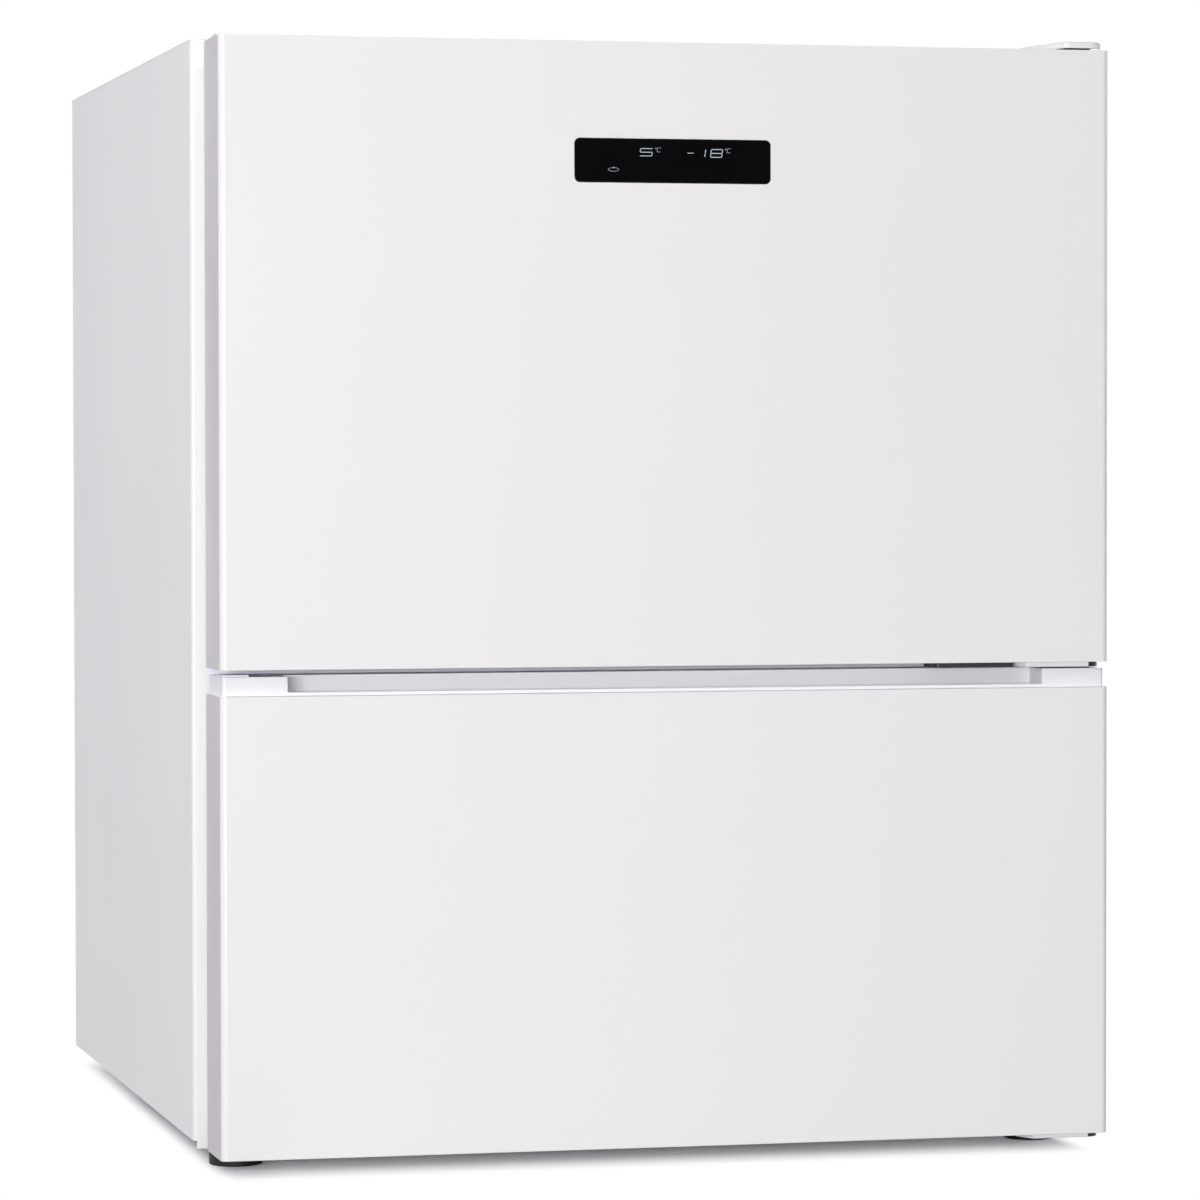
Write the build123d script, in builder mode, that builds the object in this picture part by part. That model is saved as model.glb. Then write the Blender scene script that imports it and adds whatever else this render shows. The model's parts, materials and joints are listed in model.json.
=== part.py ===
"""A free-standing fridge freezer with two doors hinged on the right, as an assembly of its separate pieces.

Millimetres, +Z up, front towards -Y. The origin is the centre of the footprint, on the floor.
"""

import os

from build123d import *

os.makedirs("parts", exist_ok=True)

# Cabinet, outside
cabinet_width = 700.0
cabinet_depth = 650.0  # without doors
cabinet_top = 840.0
side_bottom = 22.0  # lower edge of the side panels and of the floor plate
flange_bottom = 16.0  # the front flanges reach lower than the sides
sheet = 0.8
base_sheet = 1.2
flange_width = 12.0
flange_radius = 3.0
rear_flange = 14.0
top_flange = 12.0

# Compartments, measured to the inner face of the liner
liner = 2.0
fridge_wall = 45.0
freezer_wall = 60.0
rear_wall = 50.0
freezer_rear_wall = 60.0
freezer_floor = 62.0
parting_height = 372.5  # middle of the gap between the doors
mullion_height = 57.0
mullion_lip = 15.0
liner_corner = 10.0

# Compressor space at the bottom rear
machine_depth = 200.0
machine_height = 205.0
step_wall = 45.0
step_roof = 35.0

# Doors
door_side_inset = 9.0
door_top_drop = 2.0
door_bottom = 16.0
door_thickness = 64.0
door_gap = 12.0  # between door and cabinet, filled by the gasket
parting_gap = 5.0
door_edge_radius = 5.0
skin_flange = 10.0
cap_plate = 3.0

# Grip along the top of the lower door
grip_cap_height = 14.0  # the cap stands this far above the lower skin
grip_cap_inset = 2.5
grip_cap_setback = 5.0
grip_width = 580.0
grip_lip_height = 2.5
grip_lip_thickness = 2.0
grip_wall = 2.5
grip_reach = 30.0
grip_depth = 22.0  # how far the fingers reach down behind the lip
grip_round = 9.0

# Gaskets
gasket_width = 16.0
gasket_inset = 18.0
gasket_parting_inset = 8.0
gasket_base = 3.5
gasket_shoulder = 2.0
gasket_clearance = 0.3

# Door liners
dyke_side_gap = 15.0  # from the compartment wall to the dyke
dyke_end_gap = 12.0
dyke_width = 24.0
dyke_corner = 20.0
dyke_inner_corner = 8.0
moulded_edge = 4.0
fridge_dyke_depth = 28.0  # past the cabinet's front
freezer_bulge_depth = 4.0  # past the cabinet's front

# Hinges
pin_radius = 4.0
pin_clearance = 0.05
pin_side_inset = 13.0
pin_front_inset = 20.0
pin_engagement = 14.0
bush_wall = 3.0
bush_length = 16.0
boss_clearance = 0.2
bush_flange_radius = 9.0
hinge_plate = 3.0
top_plate_width = 41.0
middle_plate_width = 66.0
bottom_plate_width = 60.0
middle_leaf_height = 19.0
bottom_leaf_height = 16.0
hinge_nose_radius = 10.0
hinge_drop = 1.0  # free height between a door and the plate under it
hinge_root = 44.0  # how far the top plate reaches back over the cabinet
top_slant = (13.0, 54.0)  # cut-off front corner, across and back
front_slant = (7.0, 15.0)
cover_wall = 1.6
cover_clearance = 0.3
strip_wall = 2.0
strip_gap = 0.3  # free height between a cover strip and the door over it
screw_radius = 2.0
screw_head_radius = 3.6
screw_head_height = 2.0
screw_length = 14.0
screw_pitch = 32.0
top_screw_pitch = 22.0
screw_edge = 0.5  # free height between a screw head and the edge of its leaf

# Dark stop plate under the upper door, beside the middle hinge
stop_plate_length = 62.0
stop_plate_width = 33.0
stop_plate_corner = 3.0
stop_plate_gap = 3.0
stop_plate_setback = 10.0

# Blanking plugs on the side where the hinges could also go
plug_length = 20.5
plug_width = 24.0
plug_height = 1.5
flange_plug_width = 12.0
flange_plug_height = 22.0
flange_plug_radius = 4.0

# Display in the upper door
display_width = 150.0
display_height = 32.5
display_height_from_top = 88.0  # door top down to the middle of the glass
display_glass_thickness = 3.0
display_recess = 0.3
display_corner = 4.0
display_gap = 0.2
housing_wall = 2.0
housing_depth = 18.0

# Feet and rollers
foot_radius = 20.0
foot_height = 10.0
foot_top_chamfer = 2.0
foot_base_chamfer = 0.8
foot_side_inset = 37.0
foot_front_inset = 30.0
stud_radius = 5.0
stud_clearance = 0.05
nut_radius = 9.0
nut_height = 10.0
stud_above_floor = 30.0
roller_radius = 14.0
roller_width = 16.0
roller_side_inset = 50.0
roller_rear_inset = 40.0
roller_side_play = 0.5
roller_clearance = 2.0
roller_chamfer = 1.0
axle_radius = 3.0
axle_clearance = 0.05
cheek_thickness = 2.0
cheek_radius = 8.0

# Fridge fittings
glass = 4.0
shelf_side_gap = 3.0
shelf_front_setback = 118.0
rib_width = 10.0
rib_height = 6.0
trim_depth = 14.0
trim_lip = 3.0
crisper_lid_height = 138.0  # glass underside above the fridge floor
shelf_count = 2  # the lower one is the crisper's lid
shelf_pitch = 122.0
duct_width = 160.0
duct_depth = 30.0
duct_wall = 2.0
duct_top_gap = 24.0
slot_height = 6.0
slot_rows = (2, 4)  # slot heights above a pane
light_length = 120.0
light_width = 30.0
light_height = 4.0
light_setback = 40.0

# Drawers
drawer_wall = 2.5
drawer_front = 6.0
drawer_side_gap = 6.0
drawer_corner = 10.0
drawer_lift = 0.5
drawer_top_gap = 6.0
drawer_pull_depth = 10.0
drawer_pull_height = 14.0
crisper_front_gap = 10.0
freezer_front_setback = 14.0
freezer_shelf_height = 140.0  # glass underside above the freezer floor

# Door bins
bin_depth = 100.0
bin_wall = 2.5
bin_corner = 16.0
bin_end_gap = 2.0
bin_hook = 8.0
bin_hook_height = 3.0
bin_hook_length = 26.0
bin_clearance = 1.0
lug_height = 10.0
small_bin_height = 62.0
bottle_bin_lift = 14.0
bottle_bin_clearance = 23.0  # free height over the bottle bin
bin_top_gap = 10.0

# Evaporator and fan behind the freezer's rear cover
cover_thickness = 3.0
cover_edge_gap = 2.0
cover_setback = 18.0  # air gap between the cover and the step
fan_radius = 42.0
fan_hole_radius = 45.0
grille_angles = (0, 60, 120)
fan_hub_radius = 13.0
fan_depth = 14.0
fan_blades = 5
fan_blade_thickness = 1.8
fan_blade_pitch = 28.0
fan_gap = 8.0
motor_radius = 20.0
motor_length = 22.0
spindle_radius = 2.5
evaporator_width = 460.0
evaporator_depth = 90.0
evaporator_height = 64.0
fin_thickness = 0.6
fin_pitch = 16.0
tube_radius = 4.0
tube_pitch = 28.0

# Compressor
compressor_radius = 58.0
compressor_height = 118.0
compressor_x = -120.0
weld_rim = 4.0
mount_radius = 11.0
mount_height = 14.0
mount_spread = 62.0
pipe_radius = 3.0
pipe_bend = 12.0
lower_pipe_height = 35.0  # above the can's bottom
lower_pipe_reach = 120.0  # beside the can
upper_pipe_height = 83.0
upper_pipe_reach = 60.0

# Rear cover and power inlet
vent_cover_thickness = 2.0
vent_width = 60.0
vent_height = 5.5
vent_column_pitch = 84.0
vent_pitch = 11.0
vent_rows = 10
vent_columns = 6
inlet_width = 30.0
inlet_height = 24.0
inlet_depth = 22.0
inlet_socket_depth = 15.0
inlet_wall = 3.0
inlet_blade = (2.0, 5.0, 10.0)

# Derived places
half_width = cabinet_width / 2
front_y = -(door_thickness + door_gap + cabinet_depth) / 2
door_back_y = front_y + door_thickness
cabinet_front_y = door_back_y + door_gap
cabinet_back_y = cabinet_front_y + cabinet_depth
panel_back_y = cabinet_back_y - sheet
foam_front_y = cabinet_front_y + flange_radius

freezer_ceiling = parting_height - mullion_height / 2
fridge_floor = parting_height + mullion_height / 2
fridge_ceiling = cabinet_top - fridge_wall
fridge_half = half_width - fridge_wall
freezer_half = half_width - freezer_wall
fridge_back_y = panel_back_y - rear_wall
freezer_back_y = panel_back_y - freezer_rear_wall
frame_half = half_width - flange_width

step_front_y = cabinet_back_y - machine_depth
low_back_y = step_front_y - step_wall
ledge_height = machine_height + step_roof
floor_top = side_bottom + base_sheet

door_half = half_width - door_side_inset
upper_bottom = parting_height + parting_gap / 2
upper_top = cabinet_top - door_top_drop
lower_top = parting_height - parting_gap / 2
lower_skin_top = lower_top - grip_cap_height
liner_front_y = door_back_y - liner

pin_x = door_half - pin_side_inset
pin_y = front_y + pin_front_inset
bush_radius = pin_radius + pin_clearance + bush_wall
boss_radius = pin_side_inset - sheet - boss_clearance
bottom_plate_top = door_bottom - hinge_drop
middle_plate_bottom = lower_top + hinge_drop
middle_plate_top = middle_plate_bottom + hinge_plate
hinge_right = pin_x + hinge_nose_radius

display_z = upper_top - display_height_from_top
cover_front_y = low_back_y - cover_setback
fan_z = (ledge_height + freezer_ceiling) / 2
foot_x = half_width - foot_side_inset
foot_y = cabinet_front_y + foot_front_inset
roller_x = half_width - roller_side_inset
roller_y = cabinet_back_y - roller_rear_inset

shelf_front_y = cabinet_front_y + shelf_front_setback
shelf_back_y = fridge_back_y - duct_depth - trim_lip
shelf_half = fridge_half - shelf_side_gap
shelf_levels = [fridge_floor + crisper_lid_height + n * shelf_pitch for n in range(shelf_count)]
freezer_shelf_z = freezer_floor + freezer_shelf_height


def block(low, high, mode=Mode.ADD):
    """A rectangular block between two opposite corners."""
    centre = tuple((a + b) / 2 for a, b in zip(low, high))
    with Locations(centre):
        Box(*(b - a for a, b in zip(low, high)), mode=mode)


def post(x, y, z_low, z_high, radius, mode=Mode.ADD):
    """An upright cylinder."""
    with BuildSketch(Plane.XY.offset(z_low)) as outline:
        with Locations((x, y)):
            Circle(radius)
    extrude(outline.sketch, amount=z_high - z_low, mode=mode)


def rod_y(x, z, y_low, y_high, radius, mode=Mode.ADD):
    """A cylinder that runs front to back."""
    with BuildSketch(Plane.XZ.offset(-y_high)) as outline:
        with Locations((x, z)):
            Circle(radius)
    extrude(outline.sketch, amount=y_high - y_low, mode=mode)


def rod_x(y, z, x_low, x_high, radius, mode=Mode.ADD):
    """A cylinder that runs from side to side."""
    with BuildSketch(Plane.YZ.offset(x_low)) as outline:
        with Locations((y, z)):
            Circle(radius)
    extrude(outline.sketch, amount=x_high - x_low, mode=mode)


def rounded_tunnel(half, z_low, z_high, y_low, y_high, radius, mode=Mode.ADD):
    """A block with its four front-to-back edges rounded."""
    with BuildSketch(Plane.XZ.offset(-y_high)) as outline:
        with Locations((0, (z_low + z_high) / 2)):
            RectangleRounded(2 * half, z_high - z_low, radius)
    extrude(outline.sketch, amount=y_high - y_low, mode=mode)


def door_slab(z_low, z_high, inset, back_y, mode=Mode.ADD):
    """A flat slab with a door's plan shape, set in from its outside."""
    with BuildSketch(Plane.XY.offset(z_low)) as plan:
        with Locations((0, (front_y + inset + back_y) / 2)):
            Rectangle(2 * (door_half - inset), back_y - front_y - inset)
        fillet(plan.vertices().group_by(Axis.Y)[0], door_edge_radius - inset)
    extrude(plan.sketch, amount=z_high - z_low, mode=mode)


def ring(half, z_low, z_high, width, y_low, y_high, mode=Mode.ADD):
    """An upright rectangular ring, given by its outside and its width."""
    with BuildSketch(Plane.XZ.offset(-y_high)) as outline:
        with Locations((0, (z_low + z_high) / 2)):
            Rectangle(2 * half, z_high - z_low)
            Rectangle(2 * (half - width), z_high - z_low - 2 * width, mode=Mode.SUBTRACT)
    extrude(outline.sketch, amount=y_high - y_low, mode=mode)


def screw_places(plate_width, pitch=screw_pitch):
    """The x of the two screws of a hinge plate."""
    middle = hinge_right - plate_width / 2
    return middle - pitch / 2, middle + pitch / 2


# Side panels: bent painted sheet with a rounded front flange and a rear flange
with BuildPart() as side_panel_left:
    with BuildSketch(Plane.XY.offset(side_bottom)):
        with BuildLine():
            Polyline(
                (-half_width, panel_back_y),
                (-half_width, cabinet_front_y),
                (-frame_half, cabinet_front_y),
                (-frame_half, cabinet_front_y + sheet),
                (-half_width + sheet, cabinet_front_y + sheet),
                (-half_width + sheet, panel_back_y - sheet),
                (-half_width + rear_flange, panel_back_y - sheet),
                (-half_width + rear_flange, panel_back_y),
                close=True,
            )
        make_face()
        fillet(vertices().group_by(Axis.X)[0].sort_by(Axis.Y)[0], flange_radius)
        fillet(vertices().group_by(Axis.X)[1].sort_by(Axis.Y)[0], flange_radius - sheet)
    extrude(amount=cabinet_top - sheet - side_bottom)
    block(
        (-half_width + flange_radius, cabinet_front_y, flange_bottom),
        (-frame_half, cabinet_front_y + sheet, side_bottom),
    )

with BuildPart() as side_panel_right:
    mirror(side_panel_left.part, about=Plane.YZ)


# Top panel: lies over the side panels, with a flange down at the front
top_screw_y = cabinet_front_y + hinge_root / 2
top_screws = [(x, top_screw_y) for x in screw_places(top_plate_width, top_screw_pitch)]

with BuildPart() as top_panel:
    with BuildSketch(Plane.XY.offset(cabinet_top - sheet)):
        with Locations((0, (cabinet_front_y + panel_back_y) / 2)):
            Rectangle(cabinet_width, panel_back_y - cabinet_front_y)
        fillet(vertices().group_by(Axis.Y)[0], flange_radius)
    extrude(amount=sheet)
    block(
        (-frame_half, cabinet_front_y, cabinet_top - top_flange),
        (frame_half, cabinet_front_y + sheet, cabinet_top - sheet),
    )
    for x, y in top_screws:
        post(x, y, cabinet_top - sheet, cabinet_top, screw_radius, Mode.SUBTRACT)


# Back panel: flat sheet over the rear flanges, above the compressor space
with BuildPart() as back_panel:
    block((-half_width, panel_back_y, machine_height), (half_width, cabinet_back_y, cabinet_top))


# Base frame: front rail and floor plate in one bent sheet, with a nut for each foot
bottom_screw_z = max(floor_top, bottom_plate_top) + screw_radius + screw_edge
bottom_screws = [(x, bottom_screw_z) for x in screw_places(bottom_plate_width)]

with BuildPart() as base_frame:
    block(
        (-frame_half, cabinet_front_y, flange_bottom),
        (frame_half, cabinet_front_y + base_sheet, freezer_floor - liner),
    )
    block(
        (-half_width + sheet, cabinet_front_y + flange_radius, side_bottom),
        (half_width - sheet, step_front_y, floor_top),
    )
    block(
        (-frame_half, cabinet_front_y + base_sheet, side_bottom),
        (frame_half, cabinet_front_y + flange_radius, floor_top),
    )
    for side in (-1, 1):
        post(side * foot_x, foot_y, side_bottom, floor_top + nut_height, nut_radius)
        post(side * foot_x, foot_y, side_bottom, floor_top + nut_height, stud_radius, Mode.SUBTRACT)
    for x, z in bottom_screws:
        rod_y(x, z, cabinet_front_y, cabinet_front_y + base_sheet, screw_radius, Mode.SUBTRACT)


# Compressor base: rear floor plate with cheeks for the rollers
cheek_inner = roller_width / 2 + roller_side_play
cheek_outer = cheek_inner + cheek_thickness

with BuildPart() as compressor_base:
    block(
        (-half_width + sheet, step_front_y, side_bottom),
        (half_width - sheet, panel_back_y - sheet, floor_top),
    )
    for side in (-1, 1):
        block(
            (side * roller_x - cheek_inner, roller_y - roller_radius - roller_clearance, side_bottom),
            (side * roller_x + cheek_inner, roller_y + roller_radius + roller_clearance, floor_top),
            Mode.SUBTRACT,
        )
        for inner, outer in ((-cheek_outer, -cheek_inner), (cheek_inner, cheek_outer)):
            rod_x(roller_y, roller_radius, side * roller_x + inner, side * roller_x + outer, cheek_radius)
            block(
                (side * roller_x + inner, roller_y - cheek_radius, roller_radius),
                (side * roller_x + outer, roller_y + cheek_radius, floor_top),
            )
        rod_x(
            roller_y,
            roller_radius,
            side * roller_x - cheek_outer,
            side * roller_x + cheek_outer,
            axle_radius,
            Mode.SUBTRACT,
        )

with BuildPart() as roller_axles:
    for side in (-1, 1):
        rod_x(roller_y, roller_radius, side * roller_x - cheek_outer, side * roller_x + cheek_outer, axle_radius)


# Rear rollers: moulded wheels with a bore that runs on the axle
rollers = {}
for name, side in (("rear_roller_left", -1), ("rear_roller_right", 1)):
    with BuildPart() as roller:
        rod_x(
            roller_y,
            roller_radius,
            side * roller_x - roller_width / 2,
            side * roller_x + roller_width / 2,
            roller_radius,
        )
        chamfer(roller.edges().filter_by(GeomType.CIRCLE), roller_chamfer)
        rod_x(
            roller_y,
            roller_radius,
            side * roller_x - roller_width / 2,
            side * roller_x + roller_width / 2,
            axle_radius + axle_clearance,
            Mode.SUBTRACT,
        )
    rollers[name] = roller


# Front feet: a pad moulded on a stud that turns in the nut of the base frame
feet = {}
for name, side in (("front_foot_left", -1), ("front_foot_right", 1)):
    with BuildPart() as foot:
        post(side * foot_x, foot_y, 0, foot_height, foot_radius)
        chamfer(foot.edges().group_by(Axis.Z)[-1], foot_top_chamfer)
        chamfer(foot.edges().group_by(Axis.Z)[0], foot_base_chamfer)
        post(side * foot_x, foot_y, foot_height, stud_above_floor, stud_radius - stud_clearance)
    feet[name] = foot


# Step panel: bent sheet between the foam and the compressor space
with BuildPart() as step_panel:
    block(
        (-half_width + sheet, step_front_y, floor_top),
        (half_width - sheet, step_front_y + sheet, machine_height),
    )
    block(
        (-half_width + sheet, step_front_y + sheet, machine_height - sheet),
        (half_width - sheet, panel_back_y - sheet, machine_height),
    )


# Centre rail: a channel across the front between the two compartments
middle_leaf_low = parting_height - middle_leaf_height / 2
middle_screw_z = middle_plate_bottom - screw_head_radius - screw_edge
middle_screws = [(x, middle_screw_z) for x in screw_places(middle_plate_width)]
rail_bottom = freezer_ceiling + liner
rail_top = fridge_floor - liner

with BuildPart() as mullion_rail:
    block((-frame_half, cabinet_front_y, rail_bottom), (frame_half, cabinet_front_y + base_sheet, rail_top))
    for z in (rail_bottom, rail_top - base_sheet):
        block(
            (-frame_half, cabinet_front_y + base_sheet, z),
            (frame_half, cabinet_front_y + mullion_lip, z + base_sheet),
        )
    for x, z in middle_screws:
        rod_y(x, z, cabinet_front_y, cabinet_front_y + base_sheet, screw_radius, Mode.SUBTRACT)


# Fridge liner: moulded tub with a front flange and ribs that carry the shelves
duct_low = fridge_floor
duct_high = fridge_ceiling - duct_top_gap
passage_half = duct_width / 2 - duct_wall
passage_front_y = fridge_back_y - duct_depth + duct_wall
passage_back_y = fridge_back_y - duct_wall

with BuildPart() as fridge_liner:
    rounded_tunnel(
        fridge_half + liner,
        fridge_floor - liner,
        fridge_ceiling + liner,
        cabinet_front_y,
        fridge_back_y + liner,
        liner_corner + liner,
    )
    block(
        (-frame_half, cabinet_front_y, rail_top),
        (frame_half, cabinet_front_y + liner, cabinet_top - top_flange),
    )
    rounded_tunnel(
        fridge_half,
        fridge_floor,
        fridge_ceiling,
        cabinet_front_y,
        fridge_back_y,
        liner_corner,
        Mode.SUBTRACT,
    )
    for z in shelf_levels:
        for side in (-1, 1):
            x_wall = side * fridge_half
            x_tip = side * (fridge_half - rib_width)
            block(
                (min(x_wall, x_tip), shelf_front_y + trim_depth, z - rib_height),
                (max(x_wall, x_tip), shelf_back_y - trim_depth, z),
            )
    block(
        (-passage_half, passage_front_y, fridge_floor - liner),
        (passage_half, passage_back_y, fridge_floor),
        Mode.SUBTRACT,
    )


# Freezer liner: moulded tub with a step over the compressor space
freezer_inside = [
    (cabinet_front_y, freezer_floor),
    (low_back_y, freezer_floor),
    (low_back_y, ledge_height),
    (freezer_back_y, ledge_height),
    (freezer_back_y, freezer_ceiling),
    (cabinet_front_y, freezer_ceiling),
]
freezer_outside = [
    (cabinet_front_y, freezer_floor - liner),
    (low_back_y + liner, freezer_floor - liner),
    (low_back_y + liner, ledge_height - liner),
    (freezer_back_y + liner, ledge_height - liner),
    (freezer_back_y + liner, freezer_ceiling + liner),
    (cabinet_front_y, freezer_ceiling + liner),
]


def freezer_tub(points, half, mode=Mode.ADD):
    """The stepped side outline of the freezer, extruded across its width."""
    with BuildSketch(Plane.YZ.offset(-half)) as outline:
        with BuildLine():
            Polyline(*points, close=True)
        make_face()
    extrude(outline.sketch, amount=2 * half, mode=mode)


with BuildPart() as freezer_liner:
    freezer_tub(freezer_outside, freezer_half + liner)
    block(
        (-frame_half, cabinet_front_y, freezer_floor - liner),
        (frame_half, cabinet_front_y + liner, rail_bottom),
    )
    freezer_tub(freezer_inside, freezer_half, Mode.SUBTRACT)
    for side in (-1, 1):
        x_wall = side * freezer_half
        x_tip = side * (freezer_half - rib_width)
        block(
            (min(x_wall, x_tip), cabinet_front_y + freezer_front_setback + trim_depth, freezer_shelf_z - rib_height),
            (max(x_wall, x_tip), cover_front_y - cover_edge_gap, freezer_shelf_z),
        )
    block(
        (-passage_half, passage_front_y, freezer_ceiling),
        (passage_half, min(passage_back_y, freezer_back_y), freezer_ceiling + liner),
        Mode.SUBTRACT,
    )


# Insulation: foam that fills the space between the outer sheets and the liners
with BuildPart() as insulation_foam:
    block(
        (-half_width + sheet, foam_front_y, floor_top),
        (half_width - sheet, panel_back_y - sheet, cabinet_top - sheet),
    )
    block(
        (-half_width, step_front_y, 0),
        (half_width, cabinet_back_y, machine_height),
        Mode.SUBTRACT,
    )
    rounded_tunnel(
        fridge_half + liner,
        fridge_floor - liner,
        fridge_ceiling + liner,
        cabinet_front_y,
        fridge_back_y + liner,
        liner_corner + liner,
        Mode.SUBTRACT,
    )
    freezer_tub(freezer_outside, freezer_half + liner, Mode.SUBTRACT)
    block(
        (-frame_half, cabinet_front_y, rail_bottom),
        (frame_half, cabinet_front_y + mullion_lip, rail_top),
        Mode.SUBTRACT,
    )
    block(
        (-passage_half, passage_front_y, freezer_ceiling),
        (passage_half, min(passage_back_y, freezer_back_y), fridge_floor),
        Mode.SUBTRACT,
    )
    for side in (-1, 1):
        post(side * foot_x, foot_y, floor_top, floor_top + nut_height, nut_radius, Mode.SUBTRACT)
    for x, y in top_screws:
        post(x, y, cabinet_top - screw_length, cabinet_top, screw_radius, Mode.SUBTRACT)
    for x, z in bottom_screws:
        rod_y(x, z, cabinet_front_y, cabinet_front_y + screw_length, screw_radius, Mode.SUBTRACT)


# Hinge brackets: pressed plates, each with a nose round its pin
def hinge_outline(z, width, slant, root_y, margin=0):
    """Plan of a hinge plate: a straight root, a cut-off front corner and a round nose at the pin."""
    nose = hinge_nose_radius + margin
    left = hinge_right - width - margin
    across, back = slant
    with BuildSketch(Plane.XY.offset(z)) as plan:
        with BuildLine():
            Polyline(
                (left, root_y + margin),
                (left, pin_y - hinge_nose_radius + back),
                (left + across + margin / 2, pin_y - nose),
                (pin_x, pin_y - nose),
                (pin_x + nose, pin_y),
                (pin_x + nose, root_y + margin),
                close=True,
            )
        make_face()
        with Locations((pin_x, pin_y)):
            Circle(nose)
    return plan.sketch


with BuildPart() as top_hinge_bracket:
    extrude(
        hinge_outline(cabinet_top, top_plate_width, top_slant, cabinet_front_y + hinge_root),
        amount=hinge_plate,
    )
    post(pin_x, pin_y, cabinet_top, cabinet_top + hinge_plate, pin_radius, Mode.SUBTRACT)
    for x, y in top_screws:
        post(x, y, cabinet_top, cabinet_top + hinge_plate, screw_radius, Mode.SUBTRACT)
        post(
            x,
            y,
            cabinet_top + hinge_plate - screw_head_height,
            cabinet_top + hinge_plate,
            screw_head_radius,
            Mode.SUBTRACT,
        )

with BuildPart() as middle_hinge_bracket:
    extrude(
        hinge_outline(middle_plate_bottom, middle_plate_width, front_slant, cabinet_front_y),
        amount=hinge_plate,
    )
    block(
        (hinge_right - middle_plate_width, cabinet_front_y - hinge_plate, middle_leaf_low),
        (hinge_right, cabinet_front_y, middle_leaf_low + middle_leaf_height),
    )
    post(pin_x, pin_y, middle_plate_bottom, middle_plate_top, pin_radius, Mode.SUBTRACT)
    for x, z in middle_screws:
        rod_y(x, z, cabinet_front_y - hinge_plate, cabinet_front_y, screw_radius, Mode.SUBTRACT)

with BuildPart() as bottom_hinge_bracket:
    extrude(
        hinge_outline(bottom_plate_top - hinge_plate, bottom_plate_width, front_slant, cabinet_front_y),
        amount=hinge_plate,
    )
    block(
        (hinge_right - bottom_plate_width, cabinet_front_y - hinge_plate, bottom_plate_top),
        (hinge_right, cabinet_front_y, bottom_plate_top + bottom_leaf_height),
    )
    post(pin_x, pin_y, bottom_plate_top - hinge_plate, bottom_plate_top, pin_radius, Mode.SUBTRACT)
    for x, z in bottom_screws:
        rod_y(x, z, cabinet_front_y - hinge_plate, cabinet_front_y, screw_radius, Mode.SUBTRACT)

with BuildPart() as hinge_pins:
    post(pin_x, pin_y, upper_top - pin_engagement, cabinet_top + hinge_plate, pin_radius)
    post(pin_x, pin_y, lower_top - pin_engagement, upper_bottom + pin_engagement, pin_radius)
    post(pin_x, pin_y, bottom_plate_top - hinge_plate, door_bottom + pin_engagement, pin_radius)

with BuildPart() as hinge_screws:
    for x, y in top_screws:
        post(x, y, cabinet_top - screw_length, cabinet_top + hinge_plate, screw_radius)
        post(x, y, cabinet_top + hinge_plate - screw_head_height, cabinet_top + hinge_plate, screw_head_radius)
    for x, z in middle_screws + bottom_screws:
        rod_y(x, z, cabinet_front_y - hinge_plate, cabinet_front_y + screw_length, screw_radius)
        rod_y(
            x,
            z,
            cabinet_front_y - hinge_plate - screw_head_height,
            cabinet_front_y - hinge_plate,
            screw_head_radius,
        )


# Hinge covers: a shell over the top hinge, and a strip clipped round the front of each lower plate
with BuildPart() as hinge_covers:
    cover_height = hinge_plate + cover_clearance + cover_wall
    top_plan = (cabinet_top, top_plate_width, top_slant, cabinet_front_y + hinge_root)
    extrude(hinge_outline(*top_plan, cover_clearance + cover_wall), amount=cover_height)
    extrude(
        hinge_outline(*top_plan, cover_clearance),
        amount=cover_height - cover_wall,
        mode=Mode.SUBTRACT,
    )
    for z_low, z_high, width in (
        (middle_plate_bottom, upper_bottom - strip_gap, middle_plate_width),
        (bottom_plate_top - hinge_plate, door_bottom - strip_gap, bottom_plate_width),
    ):
        outside = hinge_outline(z_low, width, front_slant, door_back_y - strip_wall, strip_wall)
        extrude(outside, amount=z_high - z_low)
        extrude(
            hinge_outline(z_low, width, front_slant, cabinet_front_y),
            amount=z_high - z_low,
            mode=Mode.SUBTRACT,
        )
        block(
            (pin_x, pin_y - hinge_nose_radius - strip_wall, z_low),
            (hinge_right + strip_wall, door_back_y, z_high),
            Mode.SUBTRACT,
        )


# Plug in the front flange, top left
with BuildPart() as flange_plug:
    with BuildSketch(Plane.XZ.offset(-cabinet_front_y)):
        with Locations((-frame_half, cabinet_top - sheet - flange_plug_height / 2)):
            Rectangle(flange_plug_width, flange_plug_height)
        fillet(vertices().group_by(Axis.Y)[0], flange_plug_radius)
    extrude(amount=plug_height)


# Upper door
def blank_plug(z, inset):
    """A flat plug over the unused hinge hole on the left of a door."""
    with BuildSketch(Plane.XY.offset(z)) as outline:
        with Locations((-door_half + inset + plug_length / 2, pin_y)):
            RectangleRounded(plug_length, plug_width, plug_height)
    extrude(outline.sketch, amount=plug_height)


with BuildPart() as upper_door_skin:
    door_slab(upper_bottom, upper_top, 0, door_back_y)
    door_slab(upper_bottom, upper_top, sheet, door_back_y - sheet, Mode.SUBTRACT)
    block(
        (-door_half + skin_flange, door_back_y - sheet, upper_bottom),
        (door_half - skin_flange, door_back_y, upper_top),
        Mode.SUBTRACT,
    )
    with BuildSketch(Plane.XZ.offset(-front_y - sheet)):
        with Locations((0, display_z)):
            RectangleRounded(
                display_width + 2 * display_gap,
                display_height + 2 * display_gap,
                display_corner + display_gap,
            )
    extrude(amount=sheet, mode=Mode.SUBTRACT)

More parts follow.
